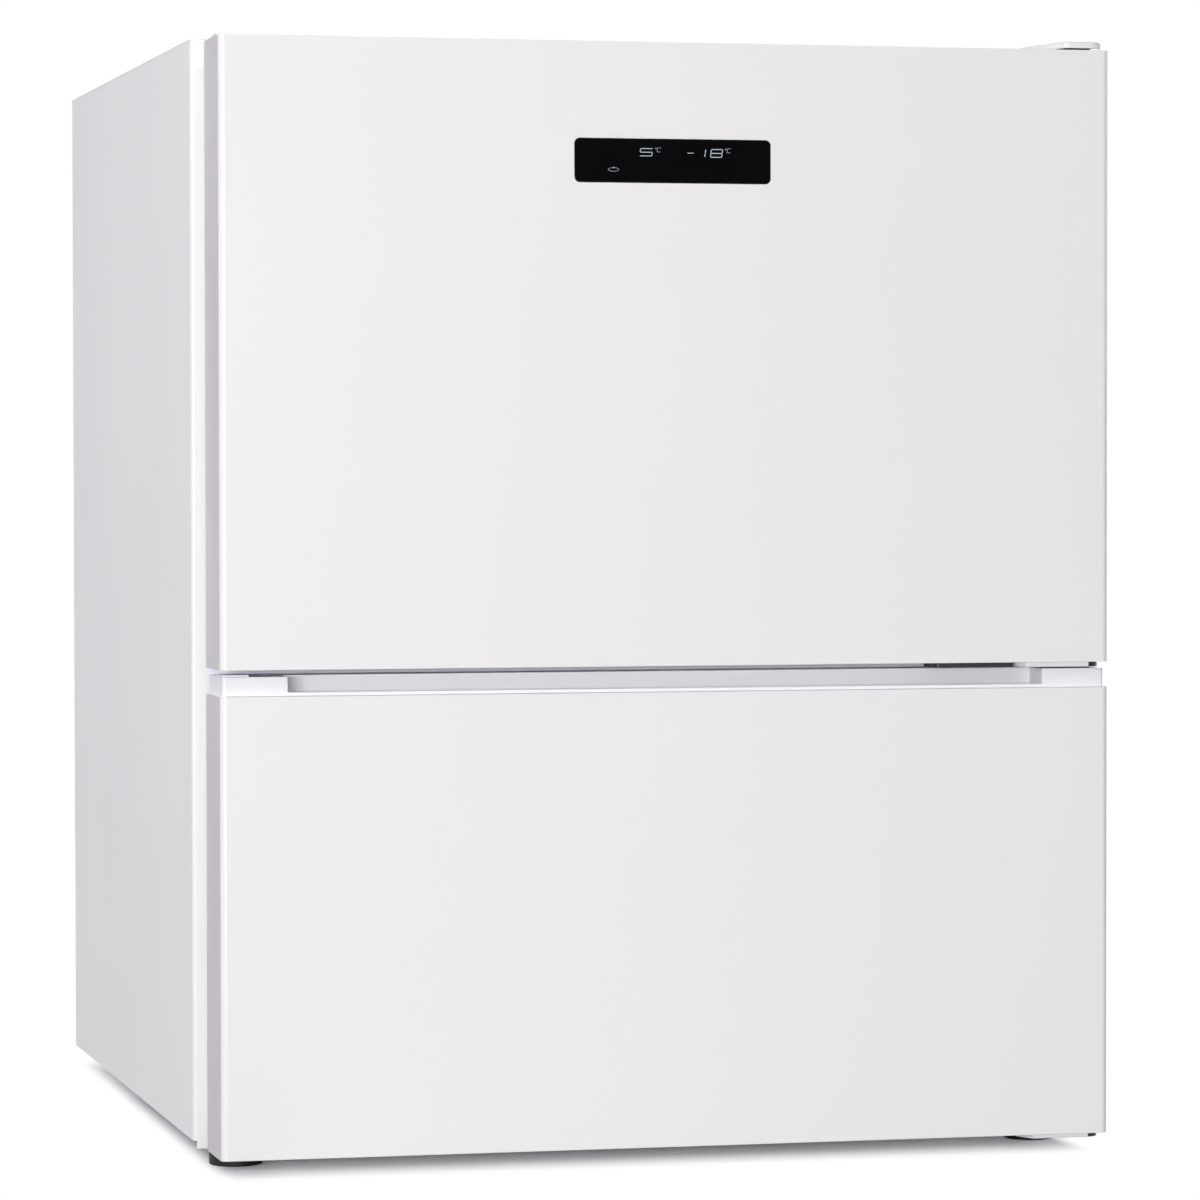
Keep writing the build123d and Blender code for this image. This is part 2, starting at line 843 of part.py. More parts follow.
with BuildPart() as upper_door_end_caps:
    door_slab(upper_top - cap_plate, upper_top, sheet, liner_front_y)
    door_slab(upper_bottom, upper_bottom + cap_plate, sheet, liner_front_y)
    for z in (upper_bottom, upper_top - bush_length):
        post(pin_x, pin_y, z, z + bush_length, boss_radius)
        post(pin_x, pin_y, z, z + bush_length, bush_radius, Mode.SUBTRACT)

with BuildPart() as upper_door_bushes:
    for z in (upper_bottom, upper_top - bush_length):
        post(pin_x, pin_y, z, z + bush_length, bush_radius)
    post(pin_x, pin_y, middle_plate_top + pin_clearance, upper_bottom, bush_flange_radius)
    post(pin_x, pin_y, middle_plate_top, upper_top, pin_radius + pin_clearance, Mode.SUBTRACT)
    with BuildSketch(Plane.XY.offset(middle_plate_bottom)) as plate:
        with Locations(
            (
                hinge_right - middle_plate_width - stop_plate_gap - stop_plate_length / 2,
                front_y + stop_plate_setback + stop_plate_width / 2,
            )
        ):
            RectangleRounded(stop_plate_length, stop_plate_width, stop_plate_corner)
    extrude(plate.sketch, amount=upper_bottom - middle_plate_bottom)

with BuildPart() as upper_door_blank_plug:
    blank_plug(upper_top, 0)

housing_half = display_width / 2 + housing_wall
housing_low = display_z - display_height / 2 - housing_wall
housing_high = display_z + display_height / 2 + housing_wall
glass_back_y = front_y + display_recess + display_glass_thickness
housing_front_y = front_y + sheet
housing_back_y = housing_front_y + housing_depth

with BuildPart() as display_glass:
    with BuildSketch(Plane.XZ.offset(-glass_back_y)):
        with Locations((0, display_z)):
            RectangleRounded(display_width, display_height, display_corner)
    extrude(amount=display_glass_thickness)

with BuildPart() as display_housing:
    block(
        (-housing_half, housing_front_y, housing_low),
        (housing_half, housing_back_y, housing_high),
    )
    block(
        (-housing_half + housing_wall, housing_front_y, housing_low + housing_wall),
        (housing_half - housing_wall, housing_back_y - housing_wall, housing_high - housing_wall),
        Mode.SUBTRACT,
    )

with BuildPart() as display_board:
    block(
        (-housing_half + housing_wall, glass_back_y, housing_low + housing_wall),
        (housing_half - housing_wall, glass_back_y + housing_wall, housing_high - housing_wall),
    )

upper_dyke_half = fridge_half - dyke_side_gap
upper_dyke_low = fridge_floor + dyke_end_gap
upper_dyke_high = fridge_ceiling - dyke_end_gap
upper_dyke_y = cabinet_front_y + fridge_dyke_depth
dyke_inner = upper_dyke_half - dyke_width


def dyke(margin, y_low, y_high, mode=Mode.ADD):
    """The raised ring of the upper door's liner, drawn in by a margin."""
    height = upper_dyke_high - upper_dyke_low
    with BuildSketch(Plane.XZ.offset(-y_high)) as outline:
        with Locations((0, (upper_dyke_low + upper_dyke_high) / 2)):
            RectangleRounded(2 * (upper_dyke_half - margin), height - 2 * margin, dyke_corner - margin)
            RectangleRounded(
                2 * (dyke_inner + margin),
                height - 2 * (dyke_width - margin),
                dyke_inner_corner + margin,
                mode=Mode.SUBTRACT,
            )
    extrude(outline.sketch, amount=y_high - y_low, mode=mode)


with BuildPart() as upper_door_foam:
    door_slab(upper_bottom + cap_plate, upper_top - cap_plate, sheet, liner_front_y)
    for z in (upper_bottom, upper_top - bush_length):
        post(pin_x, pin_y, z, z + bush_length, boss_radius, Mode.SUBTRACT)
    block(
        (-housing_half, housing_front_y, housing_low),
        (housing_half, housing_back_y, housing_high),
        Mode.SUBTRACT,
    )
    dyke(liner, liner_front_y, upper_dyke_y - liner)

bin_half = dyke_inner - bin_end_gap - bin_hook
bin_front_y = door_back_y + bin_clearance
bin_back_y = bin_front_y + bin_depth
bottle_bin_z = upper_dyke_low + dyke_width + bottle_bin_lift
top_bin_z = upper_dyke_high - dyke_width - bin_top_gap - small_bin_height
bin_pitch = (top_bin_z - bottle_bin_z) / 2
bin_levels = {
    "bottle_bin": (bottle_bin_z, bin_pitch - bottle_bin_clearance),
    "middle_door_bin": (bottle_bin_z + bin_pitch, small_bin_height),
    "top_door_bin": (top_bin_z, small_bin_height),
}

with BuildPart() as upper_door_liner:
    block(
        (-door_half + skin_flange, liner_front_y, upper_bottom),
        (door_half - skin_flange, door_back_y, upper_top),
    )
    dyke(0, door_back_y, upper_dyke_y)
    fillet(upper_door_liner.edges().group_by(Axis.Y)[-1], moulded_edge)
    dyke(liner, liner_front_y, upper_dyke_y - liner, Mode.SUBTRACT)
    for z, height in bin_levels.values():
        lug_top = z + height - bin_hook_height
        for side in (-1, 1):
            x_wall = side * dyke_inner
            x_tip = side * (dyke_inner - bin_hook)
            block(
                (min(x_wall, x_tip), door_back_y, lug_top - lug_height),
                (max(x_wall, x_tip), bin_front_y + bin_hook_length, lug_top),
            )

with BuildPart() as upper_door_gasket:
    low = upper_bottom + gasket_parting_inset
    high = upper_top - gasket_inset
    ring(door_half - gasket_inset, low, high, gasket_width, door_back_y, door_back_y + gasket_base)
    ring(
        door_half - gasket_inset - gasket_shoulder,
        low + gasket_shoulder,
        high - gasket_shoulder,
        gasket_width - 2 * gasket_shoulder,
        door_back_y + gasket_base,
        cabinet_front_y - gasket_clearance,
    )


# Door bins: clear trays that hook over lugs on the door liner
bins = {}
for name, (z, height) in bin_levels.items():
    with BuildPart() as tray:
        for z_low, inset, mode in ((z, 0, Mode.ADD), (z + bin_wall, bin_wall, Mode.SUBTRACT)):
            with BuildSketch(Plane.XY.offset(z_low)) as plan:
                with Locations((0, (bin_front_y + bin_back_y) / 2)):
                    Rectangle(2 * (bin_half - inset), bin_depth - 2 * inset)
                fillet(plan.vertices().group_by(Axis.Y)[-1], bin_corner - inset)
            extrude(plan.sketch, amount=z + height - z_low, mode=mode)
        for side in (-1, 1):
            x_wall = side * bin_half
            x_tip = side * (bin_half + bin_hook)
            block(
                (min(x_wall, x_tip), bin_front_y, z + height - bin_hook_height),
                (max(x_wall, x_tip), bin_front_y + bin_hook_length, z + height),
            )
    bins[name] = tray


# Lower door
grip_half = grip_width / 2
grip_front_y = front_y + grip_cap_setback
grip_mouth_y = grip_front_y + grip_lip_thickness
grip_back_y = grip_mouth_y + grip_reach
lip_top = lower_skin_top + grip_lip_height
grip_floor = lip_top - grip_depth
trough_low = grip_floor - grip_wall
trough_back_y = grip_back_y + grip_wall

with BuildPart() as lower_door_skin:
    door_slab(door_bottom, lower_skin_top, 0, door_back_y)
    door_slab(door_bottom, lower_skin_top, sheet, door_back_y - sheet, Mode.SUBTRACT)
    block(
        (-door_half + skin_flange, door_back_y - sheet, door_bottom),
        (door_half - skin_flange, door_back_y, lower_skin_top),
        Mode.SUBTRACT,
    )

with BuildPart() as lower_door_grip_cap:
    block(
        (-door_half + grip_cap_inset, grip_front_y, lower_skin_top),
        (door_half - grip_cap_inset, liner_front_y, lower_top),
    )
    fillet(lower_door_grip_cap.edges().filter_by(Axis.Z).group_by(Axis.Y)[0], grip_cap_inset)
    door_slab(lower_skin_top - cap_plate, lower_skin_top, sheet, liner_front_y)
    block(
        (-grip_half - grip_wall, front_y + sheet, trough_low),
        (grip_half + grip_wall, trough_back_y, lower_skin_top - cap_plate),
    )
    post(pin_x, pin_y, lower_top - bush_length, lower_top, boss_radius - grip_cap_inset)
    with BuildSketch(Plane.YZ.offset(-grip_half)):
        with BuildLine():
            Polyline(
                (front_y, lower_top),
                (front_y, lip_top),
                (grip_mouth_y, lip_top),
                (grip_mouth_y, grip_floor),
                (grip_back_y, grip_floor),
                (grip_back_y, lower_top),
                close=True,
            )
        make_face()
        fillet(vertices().group_by(Axis.Y)[0], grip_round)
    extrude(amount=grip_width, mode=Mode.SUBTRACT)
    post(pin_x, pin_y, lower_top - bush_length, lower_top, bush_radius, Mode.SUBTRACT)

with BuildPart() as lower_door_bottom_cap:
    door_slab(door_bottom, door_bottom + cap_plate, sheet, liner_front_y)
    post(pin_x, pin_y, door_bottom, door_bottom + bush_length, boss_radius)
    post(pin_x, pin_y, door_bottom, door_bottom + bush_length, bush_radius, Mode.SUBTRACT)

with BuildPart() as lower_door_bushes:
    for z in (door_bottom, lower_top - bush_length):
        post(pin_x, pin_y, z, z + bush_length, bush_radius)
    post(pin_x, pin_y, bottom_plate_top + pin_clearance, door_bottom, bush_flange_radius)
    post(pin_x, pin_y, bottom_plate_top, lower_top, pin_radius + pin_clearance, Mode.SUBTRACT)

with BuildPart() as lower_door_blank_plug:
    blank_plug(lower_top, grip_cap_inset)

bulge_half = freezer_half - dyke_side_gap
bulge_low = freezer_floor + dyke_end_gap
bulge_high = freezer_ceiling - dyke_end_gap
bulge_y = cabinet_front_y + freezer_bulge_depth
bulge_core = (
    bulge_half - liner,
    bulge_low + liner,
    bulge_high - liner,
    liner_front_y,
    bulge_y - liner,
    liner_corner - liner,
)

with BuildPart() as lower_door_foam:
    door_slab(door_bottom + cap_plate, lower_skin_top - cap_plate, sheet, liner_front_y)
    block(
        (-grip_half - grip_wall, front_y + sheet, trough_low),
        (grip_half + grip_wall, trough_back_y, lower_skin_top),
        Mode.SUBTRACT,
    )
    post(pin_x, pin_y, door_bottom, door_bottom + bush_length, boss_radius, Mode.SUBTRACT)
    post(pin_x, pin_y, lower_top - bush_length, lower_top, boss_radius, Mode.SUBTRACT)
    rounded_tunnel(*bulge_core, Mode.ADD)

with BuildPart() as lower_door_liner:
    block(
        (-door_half + skin_flange, liner_front_y, door_bottom),
        (door_half - skin_flange, door_back_y, lower_top),
    )
    rounded_tunnel(bulge_half, bulge_low, bulge_high, door_back_y, bulge_y, liner_corner)
    fillet(lower_door_liner.edges().group_by(Axis.Y)[-1], moulded_edge)
    rounded_tunnel(*bulge_core, Mode.SUBTRACT)

with BuildPart() as lower_door_gasket:
    low = door_bottom + gasket_inset
    high = lower_top - gasket_parting_inset
    ring(door_half - gasket_inset, low, high, gasket_width, door_back_y, door_back_y + gasket_base)
    ring(
        door_half - gasket_inset - gasket_shoulder,
        low + gasket_shoulder,
        high - gasket_shoulder,
        gasket_width - 2 * gasket_shoulder,
        door_back_y + gasket_base,
        cabinet_front_y - gasket_clearance,
    )


# Shelves: glass panes, those of the fridge held at the front and back by a plastic trim
def pane(half, y_low, y_high, z, mode=Mode.ADD):
    """A shelf's glass."""
    block((-half, y_low, z), (half, y_high, z + glass), mode)


def shelf_trim(half, y_low, y_high, z):
    """A moulded strip that wraps one long edge of a pane."""
    block((-half, y_low, z - trim_lip), (half, y_high, z + glass + trim_lip))


freezer_shelf_front_y = cabinet_front_y + freezer_front_setback + trim_depth

with BuildPart() as shelf_glass:
    for z in shelf_levels:
        pane(shelf_half, shelf_front_y, shelf_back_y, z)
    pane(
        freezer_half - shelf_side_gap,
        freezer_shelf_front_y,
        cover_front_y - cover_edge_gap,
        freezer_shelf_z,
    )

with BuildPart() as shelf_trims:
    for z in shelf_levels:
        shelf_trim(shelf_half, shelf_front_y - trim_lip, shelf_front_y + trim_depth - trim_lip, z)
        shelf_trim(shelf_half, shelf_back_y - trim_depth + trim_lip, shelf_back_y + trim_lip, z)
        pane(shelf_half, shelf_front_y, shelf_back_y, z, Mode.SUBTRACT)


# Drawers: clear tubs with a thicker front and a pull along its top
def drawer(half, y_low, y_high, z_low, z_high):
    """An open-topped tub with a front panel and a pull that hangs from its top edge."""
    for inset, front, back, mode in (
        (0, y_low, y_high, Mode.ADD),
        (drawer_wall, y_low + drawer_front, y_high - drawer_wall, Mode.SUBTRACT),
    ):
        with BuildSketch(Plane.XZ.offset(-back)) as section:
            with Locations((0, (z_low + inset + z_high) / 2)):
                Rectangle(2 * (half - inset), z_high - z_low - inset)
            fillet(section.vertices().group_by(Axis.Y)[0], drawer_corner - inset)
        extrude(section.sketch, amount=back - front, mode=mode)
    pull_half = half / 2
    block(
        (-pull_half, y_low - drawer_pull_depth, z_high - drawer_wall),
        (pull_half, y_low, z_high),
    )
    block(
        (-pull_half, y_low - drawer_pull_depth, z_high - drawer_pull_height),
        (pull_half, y_low - drawer_pull_depth + drawer_wall, z_high - drawer_wall),
    )


crisper_half = fridge_half - drawer_side_gap
freezer_drawer_half = freezer_half - drawer_side_gap - rib_width

with BuildPart() as crisper_drawer:
    drawer(
        crisper_half,
        shelf_front_y + crisper_front_gap,
        shelf_back_y,
        fridge_floor + drawer_lift,
        shelf_levels[0] - rib_height - drawer_top_gap,
    )

with BuildPart() as freezer_drawer_lower:
    drawer(
        freezer_drawer_half,
        freezer_shelf_front_y,
        cover_front_y - drawer_top_gap,
        freezer_floor + drawer_lift,
        freezer_shelf_z - rib_height - drawer_top_gap,
    )

with BuildPart() as freezer_drawer_upper:
    drawer(
        freezer_drawer_half,
        freezer_shelf_front_y,
        cover_front_y - drawer_top_gap,
        freezer_shelf_z + glass + drawer_lift,
        freezer_ceiling - drawer_top_gap,
    )


# Air duct: a hollow cover on the fridge's rear wall, with outlet slots
with BuildPart() as air_duct:
    block(
        (-duct_width / 2, fridge_back_y - duct_depth, duct_low),
        (duct_width / 2, fridge_back_y, duct_high),
    )
    block(
        (-passage_half, passage_front_y, duct_low),
        (passage_half, passage_back_y, duct_high - duct_wall),
        Mode.SUBTRACT,
    )
    for z in shelf_levels:
        for row in slot_rows:
            block(
                (-passage_half / 2, fridge_back_y - duct_depth, z + glass + row * slot_height),
                (passage_half / 2, passage_front_y, z + glass + (row + 1) * slot_height),
                Mode.SUBTRACT,
            )


# Fridge light: a flat lens under the ceiling
with BuildPart() as fridge_light:
    with BuildSketch(Plane.XY.offset(fridge_ceiling - light_height)):
        with Locations((0, cabinet_front_y + light_setback + light_width / 2)):
            RectangleRounded(light_length, light_width, light_height)
    extrude(amount=light_height)


# Evaporator cover: the freezer's rear wall, with the fan's opening and air slots
cover_back_y = cover_front_y + cover_thickness

with BuildPart() as evaporator_cover:
    block(
        (-freezer_half + cover_edge_gap, cover_front_y, freezer_floor + cover_edge_gap),
        (freezer_half - cover_edge_gap, cover_back_y, freezer_ceiling - cover_edge_gap),
    )
    for side in (-1, 1):
        for x in (freezer_half / 3, 2 * freezer_half / 3):
            block(
                (side * x - cover_thickness, cover_back_y, freezer_floor + cover_setback),
                (side * x + cover_thickness, low_back_y, ledge_height - cover_setback),
            )
    with BuildSketch(Plane.XZ.offset(-cover_back_y)):
        with Locations((0, fan_z)):
            Circle(fan_hole_radius)
            for angle in grille_angles:
                Rectangle(2 * fan_hole_radius, cover_thickness, rotation=angle, mode=Mode.SUBTRACT)
            Circle(fan_hub_radius, mode=Mode.SUBTRACT)
        with GridLocations(freezer_half, 2.5 * slot_height, 2, 4):
            with Locations((0, freezer_floor + freezer_shelf_height / 2)):
                SlotOverall(vent_width, slot_height)
    extrude(amount=cover_thickness, mode=Mode.SUBTRACT)


# Fan: a motor on a cross bar behind the cover, with the impeller between them
fan_front_y = cover_back_y + fan_gap
fan_back_y = fan_front_y + fan_depth
motor_front_y = fan_back_y + fan_gap / 2
motor_back_y = motor_front_y + motor_length
arm_reach = fan_hole_radius + cover_thickness

with BuildPart() as fan_motor:
    rod_y(0, fan_z, motor_front_y, motor_back_y, motor_radius)
    rod_y(0, fan_z, fan_front_y, motor_front_y, spindle_radius)
    with BuildSketch(Plane.XZ.offset(-motor_front_y - cover_thickness)):
        with Locations((0, fan_z)):
            Rectangle(2 * arm_reach, 2 * cover_thickness)
    extrude(amount=cover_thickness)
    for side in (-1, 1):
        block(
            (side * arm_reach - cover_thickness, cover_back_y, fan_z - cover_thickness),
            (side * arm_reach + cover_thickness, motor_front_y + cover_thickness, fan_z + cover_thickness),
        )

with BuildPart() as fan_impeller:
    rod_y(0, fan_z, fan_front_y, fan_back_y, fan_hub_radius)
    blade_length = fan_radius - fan_hub_radius + fan_blade_thickness
    blade_middle = (fan_radius + fan_hub_radius - fan_blade_thickness) / 2
    with Locations(Location((0, (fan_front_y + fan_back_y) / 2, fan_z), (90, 0, 0))):
        with PolarLocations(blade_middle, fan_blades):
            Box(blade_length, fan_blade_thickness, fan_depth - fan_blade_thickness, rotation=(fan_blade_pitch, 0, 0))
    rod_y(0, fan_z, fan_front_y, fan_back_y, spindle_radius + pin_clearance, Mode.SUBTRACT)


# Evaporator: tubes through a row of fins, standing on the ledge over the compressor space
evaporator_back_y = freezer_back_y - cover_setback / 2
evaporator_front_y = evaporator_back_y - evaporator_depth
evaporator_low = ledge_height
fin_count = int(evaporator_width // fin_pitch) + 1

with BuildPart() as evaporator:
    for n in range(fin_count):
        x = (n - (fin_count - 1) / 2) * fin_pitch
        block(
            (x - fin_thickness / 2, evaporator_front_y, evaporator_low),
            (x + fin_thickness / 2, evaporator_back_y, evaporator_low + evaporator_height),
        )
    tube_half = fin_count * fin_pitch / 2
    middle_y = (evaporator_front_y + evaporator_back_y) / 2
    middle_z = evaporator_low + evaporator_height / 2
    for dy in (-1, 0, 1):
        for dz in (-0.5, 0.5):
            rod_x(middle_y + dy * tube_pitch, middle_z + dz * tube_pitch, -tube_half, tube_half, tube_radius)


# Compressor: a welded steel can on a foot plate and four rubber mounts
compressor_y = (step_front_y + panel_back_y) / 2
plate_low = floor_top + mount_height
plate_top = plate_low + base_sheet
can_low = plate_top
can_middle = can_low + compressor_height / 2
can_top = can_low + compressor_height
dome = compressor_radius / 3

with BuildPart() as compressor:
    with BuildSketch(Plane.XZ.offset(-compressor_y)):
        with BuildLine():
            Polyline(
                (compressor_x, can_low),
                (compressor_x + compressor_radius - dome, can_low),
                (compressor_x + compressor_radius, can_low + dome),
                (compressor_x + compressor_radius, can_middle - weld_rim / 2),
                (compressor_x + compressor_radius + weld_rim, can_middle - weld_rim / 2),
                (compressor_x + compressor_radius + weld_rim, can_middle + weld_rim / 2),
                (compressor_x + compressor_radius, can_middle + weld_rim / 2),
                (compressor_x + compressor_radius, can_top - dome),
                (compressor_x + compressor_radius - dome, can_top),
                (compressor_x, can_top),
                close=True,
            )
        make_face()
    revolve(axis=Axis((compressor_x, compressor_y, 0), (0, 0, 1)))
    foot_plate = mount_spread + mount_radius
    block(
        (compressor_x - foot_plate, compressor_y - foot_plate, plate_low),
        (compressor_x + foot_plate, compressor_y + foot_plate, plate_top),
    )

with BuildPart() as compressor_mounts:
    for dx in (-mount_spread, mount_spread):
        for dy in (-mount_spread, mount_spread):
            post(compressor_x + dx, compressor_y + dy, floor_top, plate_low, mount_radius)

with BuildPart() as refrigerant_pipes:
    x_out = compressor_x + compressor_radius
    for height, reach in ((lower_pipe_height, lower_pipe_reach), (upper_pipe_height, upper_pipe_reach)):
        pipe_z = can_low + height
        with BuildLine() as route:
            FilletPolyline(
                (x_out - weld_rim, compressor_y, pipe_z),
                (x_out + reach, compressor_y, pipe_z),
                (x_out + reach, compressor_y, machine_height - sheet),
                radius=pipe_bend,
            )
        with BuildSketch(Plane(origin=route.line @ 0, z_dir=route.line % 0)):
            Circle(pipe_radius)
        sweep(path=route.line)
    post(compressor_x, compressor_y, can_low + dome, can_top - dome, compressor_radius, Mode.SUBTRACT)


# Rear cover: a ventilated plate over the compressor space, with the power inlet
inlet_x = half_width - 3 * inlet_width
inlet_z = machine_height / 2
vent_low = floor_top
cover_half = half_width - rear_flange

with BuildPart() as vent_cover:
    block(
        (-cover_half, cabinet_back_y - vent_cover_thickness, vent_low),
        (cover_half, cabinet_back_y, machine_height - cover_edge_gap),
    )
    with BuildSketch(Plane.XZ.offset(-cabinet_back_y)):
        with Locations((-inlet_width * 1.5, (vent_low + machine_height) / 2)):
            with GridLocations(vent_column_pitch, vent_pitch, vent_columns, vent_rows):
                SlotOverall(vent_width, vent_height)
    extrude(amount=vent_cover_thickness, mode=Mode.SUBTRACT)
    block(
        (inlet_x - inlet_width / 2, cabinet_back_y - vent_cover_thickness, inlet_z - inlet_height / 2),
        (inlet_x + inlet_width / 2, cabinet_back_y, inlet_z + inlet_height / 2),
        Mode.SUBTRACT,
    )

with BuildPart() as power_inlet:
    block(
        (inlet_x - inlet_width / 2, cabinet_back_y - inlet_depth, inlet_z - inlet_height / 2),
        (inlet_x + inlet_width / 2, cabinet_back_y, inlet_z + inlet_height / 2),
    )
    block(
        (
            inlet_x - inlet_width / 2 + inlet_wall,
            cabinet_back_y - inlet_socket_depth,
            inlet_z - inlet_height / 2 + inlet_wall,
        ),
        (
            inlet_x + inlet_width / 2 - inlet_wall,
            cabinet_back_y,
            inlet_z + inlet_height / 2 - inlet_wall,
        ),
        Mode.SUBTRACT,
    )
    blade_x, blade_z, blade_y = inlet_blade
    for dx, dz in ((-inlet_width / 5, -inlet_wall), (inlet_width / 5, -inlet_wall), (0, inlet_wall)):
        block(
            (inlet_x + dx - blade_x / 2, cabinet_back_y - inlet_socket_depth, inlet_z + dz - blade_z / 2),
            (
                inlet_x + dx + blade_x / 2,
                cabinet_back_y - inlet_socket_depth + blade_y,
                inlet_z + dz + blade_z / 2,
            ),
        )


pieces = {
    "side_panel_left": side_panel_left,
    "side_panel_right": side_panel_right,
    "top_panel": top_panel,
    "back_panel": back_panel,
    "base_frame": base_frame,
    "compressor_base": compressor_base,
    "roller_axles": roller_axles,
    "step_panel": step_panel,
    "mullion_rail": mullion_rail,
    "fridge_liner": fridge_liner,
    "freezer_liner": freezer_liner,
    "insulation_foam": insulation_foam,
    "top_hinge_bracket": top_hinge_bracket,
    "middle_hinge_bracket": middle_hinge_bracket,
    "bottom_hinge_bracket": bottom_hinge_bracket,
    "hinge_pins": hinge_pins,
    "hinge_screws": hinge_screws,
    "hinge_covers": hinge_covers,
    "flange_plug": flange_plug,
    "upper_door_skin": upper_door_skin,
    "upper_door_end_caps": upper_door_end_caps,
    "upper_door_bushes": upper_door_bushes,
    "upper_door_blank_plug": upper_door_blank_plug,
    "upper_door_foam": upper_door_foam,
    "upper_door_liner": upper_door_liner,
    "upper_door_gasket": upper_door_gasket,
    "display_glass": display_glass,
    "display_housing": display_housing,
    "display_board": display_board,
    "lower_door_skin": lower_door_skin,
    "lower_door_grip_cap": lower_door_grip_cap,
    "lower_door_bottom_cap": lower_door_bottom_cap,
    "lower_door_bushes": lower_door_bushes,
    "lower_door_blank_plug": lower_door_blank_plug,
    "lower_door_foam": lower_door_foam,
    "lower_door_liner": lower_door_liner,
    "lower_door_gasket": lower_door_gasket,
    "shelf_glass": shelf_glass,
    "shelf_trims": shelf_trims,
    "crisper_drawer": crisper_drawer,
    "freezer_drawer_lower": freezer_drawer_lower,
    "freezer_drawer_upper": freezer_drawer_upper,
    "air_duct": air_duct,
    "fridge_light": fridge_light,
    "evaporator_cover": evaporator_cover,
    "fan_motor": fan_motor,
    "fan_impeller": fan_impeller,
    "evaporator": evaporator,
    "compressor": compressor,
    "compressor_mounts": compressor_mounts,
    "refrigerant_pipes": refrigerant_pipes,
    "vent_cover": vent_cover,
    "power_inlet": power_inlet,
} | rollers | feet | bins

for name, piece in pieces.items():
    piece.part.label = name
    export_step(piece.part, f"parts/{name}.step")
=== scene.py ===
import json
from math import cos, pi, radians, sin

import bmesh
import bpy
from mathutils import Matrix, Vector


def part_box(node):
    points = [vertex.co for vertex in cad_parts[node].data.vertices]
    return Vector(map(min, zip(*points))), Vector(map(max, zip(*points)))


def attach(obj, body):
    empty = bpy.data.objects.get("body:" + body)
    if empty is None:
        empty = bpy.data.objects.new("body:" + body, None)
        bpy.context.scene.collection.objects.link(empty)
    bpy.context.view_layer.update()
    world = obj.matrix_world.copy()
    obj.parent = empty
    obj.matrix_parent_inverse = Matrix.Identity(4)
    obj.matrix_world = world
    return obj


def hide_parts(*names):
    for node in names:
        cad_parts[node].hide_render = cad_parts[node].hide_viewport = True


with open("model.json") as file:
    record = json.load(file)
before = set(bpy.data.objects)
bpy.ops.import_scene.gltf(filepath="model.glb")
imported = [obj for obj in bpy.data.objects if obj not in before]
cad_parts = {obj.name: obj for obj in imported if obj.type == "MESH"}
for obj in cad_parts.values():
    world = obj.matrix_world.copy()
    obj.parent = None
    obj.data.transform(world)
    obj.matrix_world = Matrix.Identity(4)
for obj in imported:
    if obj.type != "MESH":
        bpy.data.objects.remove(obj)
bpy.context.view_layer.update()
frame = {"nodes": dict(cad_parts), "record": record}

MM = 0.001


# The outer cabinet: two bent side panels and a top panel of pre-coated steel sheet, stoved white.
# The coating levels out in the oven to a soft gloss with a faint orange peel.
# The panels hook into each other and are held by the foam behind them.
def colour(text):
    """An sRGB hex value as linear light."""
    channels = [int(text[n:n + 2], 16) / 255 for n in (1, 3, 5)]
    return [c / 12.92 if c <= 0.04045 else ((c + 0.055) / 1.055) ** 2.4 for c in channels] + [1.0]


def finish(name):
    """A new material with an empty node tree."""
    made = bpy.data.materials.new(name)
    made.use_nodes = True
    made.node_tree.nodes.clear()
    return made


def add(material, kind, inputs=None, stops=(), **settings):
    """Adds a node with its settings and links.

    Each input is a value or another node's output. A ramp's stops are places with a colour or level.
    """
    tree = material.node_tree
    node = tree.nodes.new(kind)
    for name, value in settings.items():
        setattr(node, name, value)
    for n, (place, level) in enumerate(stops):
        stop = node.color_ramp.elements[n]
        stop.position = place
        stop.color = colour(level) if isinstance(level, str) else (level, level, level, 1.0)
    for name, value in (inputs or {}).items():
        if isinstance(value, bpy.types.NodeSocket):
            tree.links.new(value, node.inputs[name])
        else:
            node.inputs[name].default_value = value
    return node


def surface(material, inputs):
    """The shader and the output that end a finish."""
    shader = add(material, "ShaderNodeBsdfPrincipled", inputs)
    add(material, "ShaderNodeOutputMaterial", {"Surface": shader.outputs["BSDF"]})
    return material


def noise_of(material, size, detail):
    """Patches or bumps of about one size, in metres, over the piece."""
    spot = add(material, "ShaderNodeTexCoord").outputs["Object"]
    return add(material, "ShaderNodeTexNoise", {
        "Vector": spot, "Scale": 1 / size, "Detail": detail, "Roughness": 0.5,
    }).outputs["Fac"]


def mottle(material, size, low, high, detail=2.0, ends=(0.3, 0.7)):
    """Patches of one size that go from one colour or level to another."""
    patches = noise_of(material, size, detail)
    stops = tuple(zip(ends, (low, high)))
    return add(material, "ShaderNodeValToRGB", {"Fac": patches}, stops).outputs["Color"]


def drift(material, size, low, high):
    """A change over one size, too slow and slight to make out as patches."""
    return mottle(material, size, low, high, 0.0, (0.2, 0.8))


def relief(material, size, depth, detail=2.0):
    """Bumps of one size and one real depth, in metres."""
    bumps = noise_of(material, size, detail)
    return add(material, "ShaderNodeBump", {
        "Height": bumps, "Distance": depth, "Strength": 1.0,
    }).outputs["Normal"]


def dress(material, *nodes):
    """Gives CAD nodes a finish in their own material slots."""
    for node in nodes:
        for holder in frame["nodes"][node].material_slots:
            holder.material = material


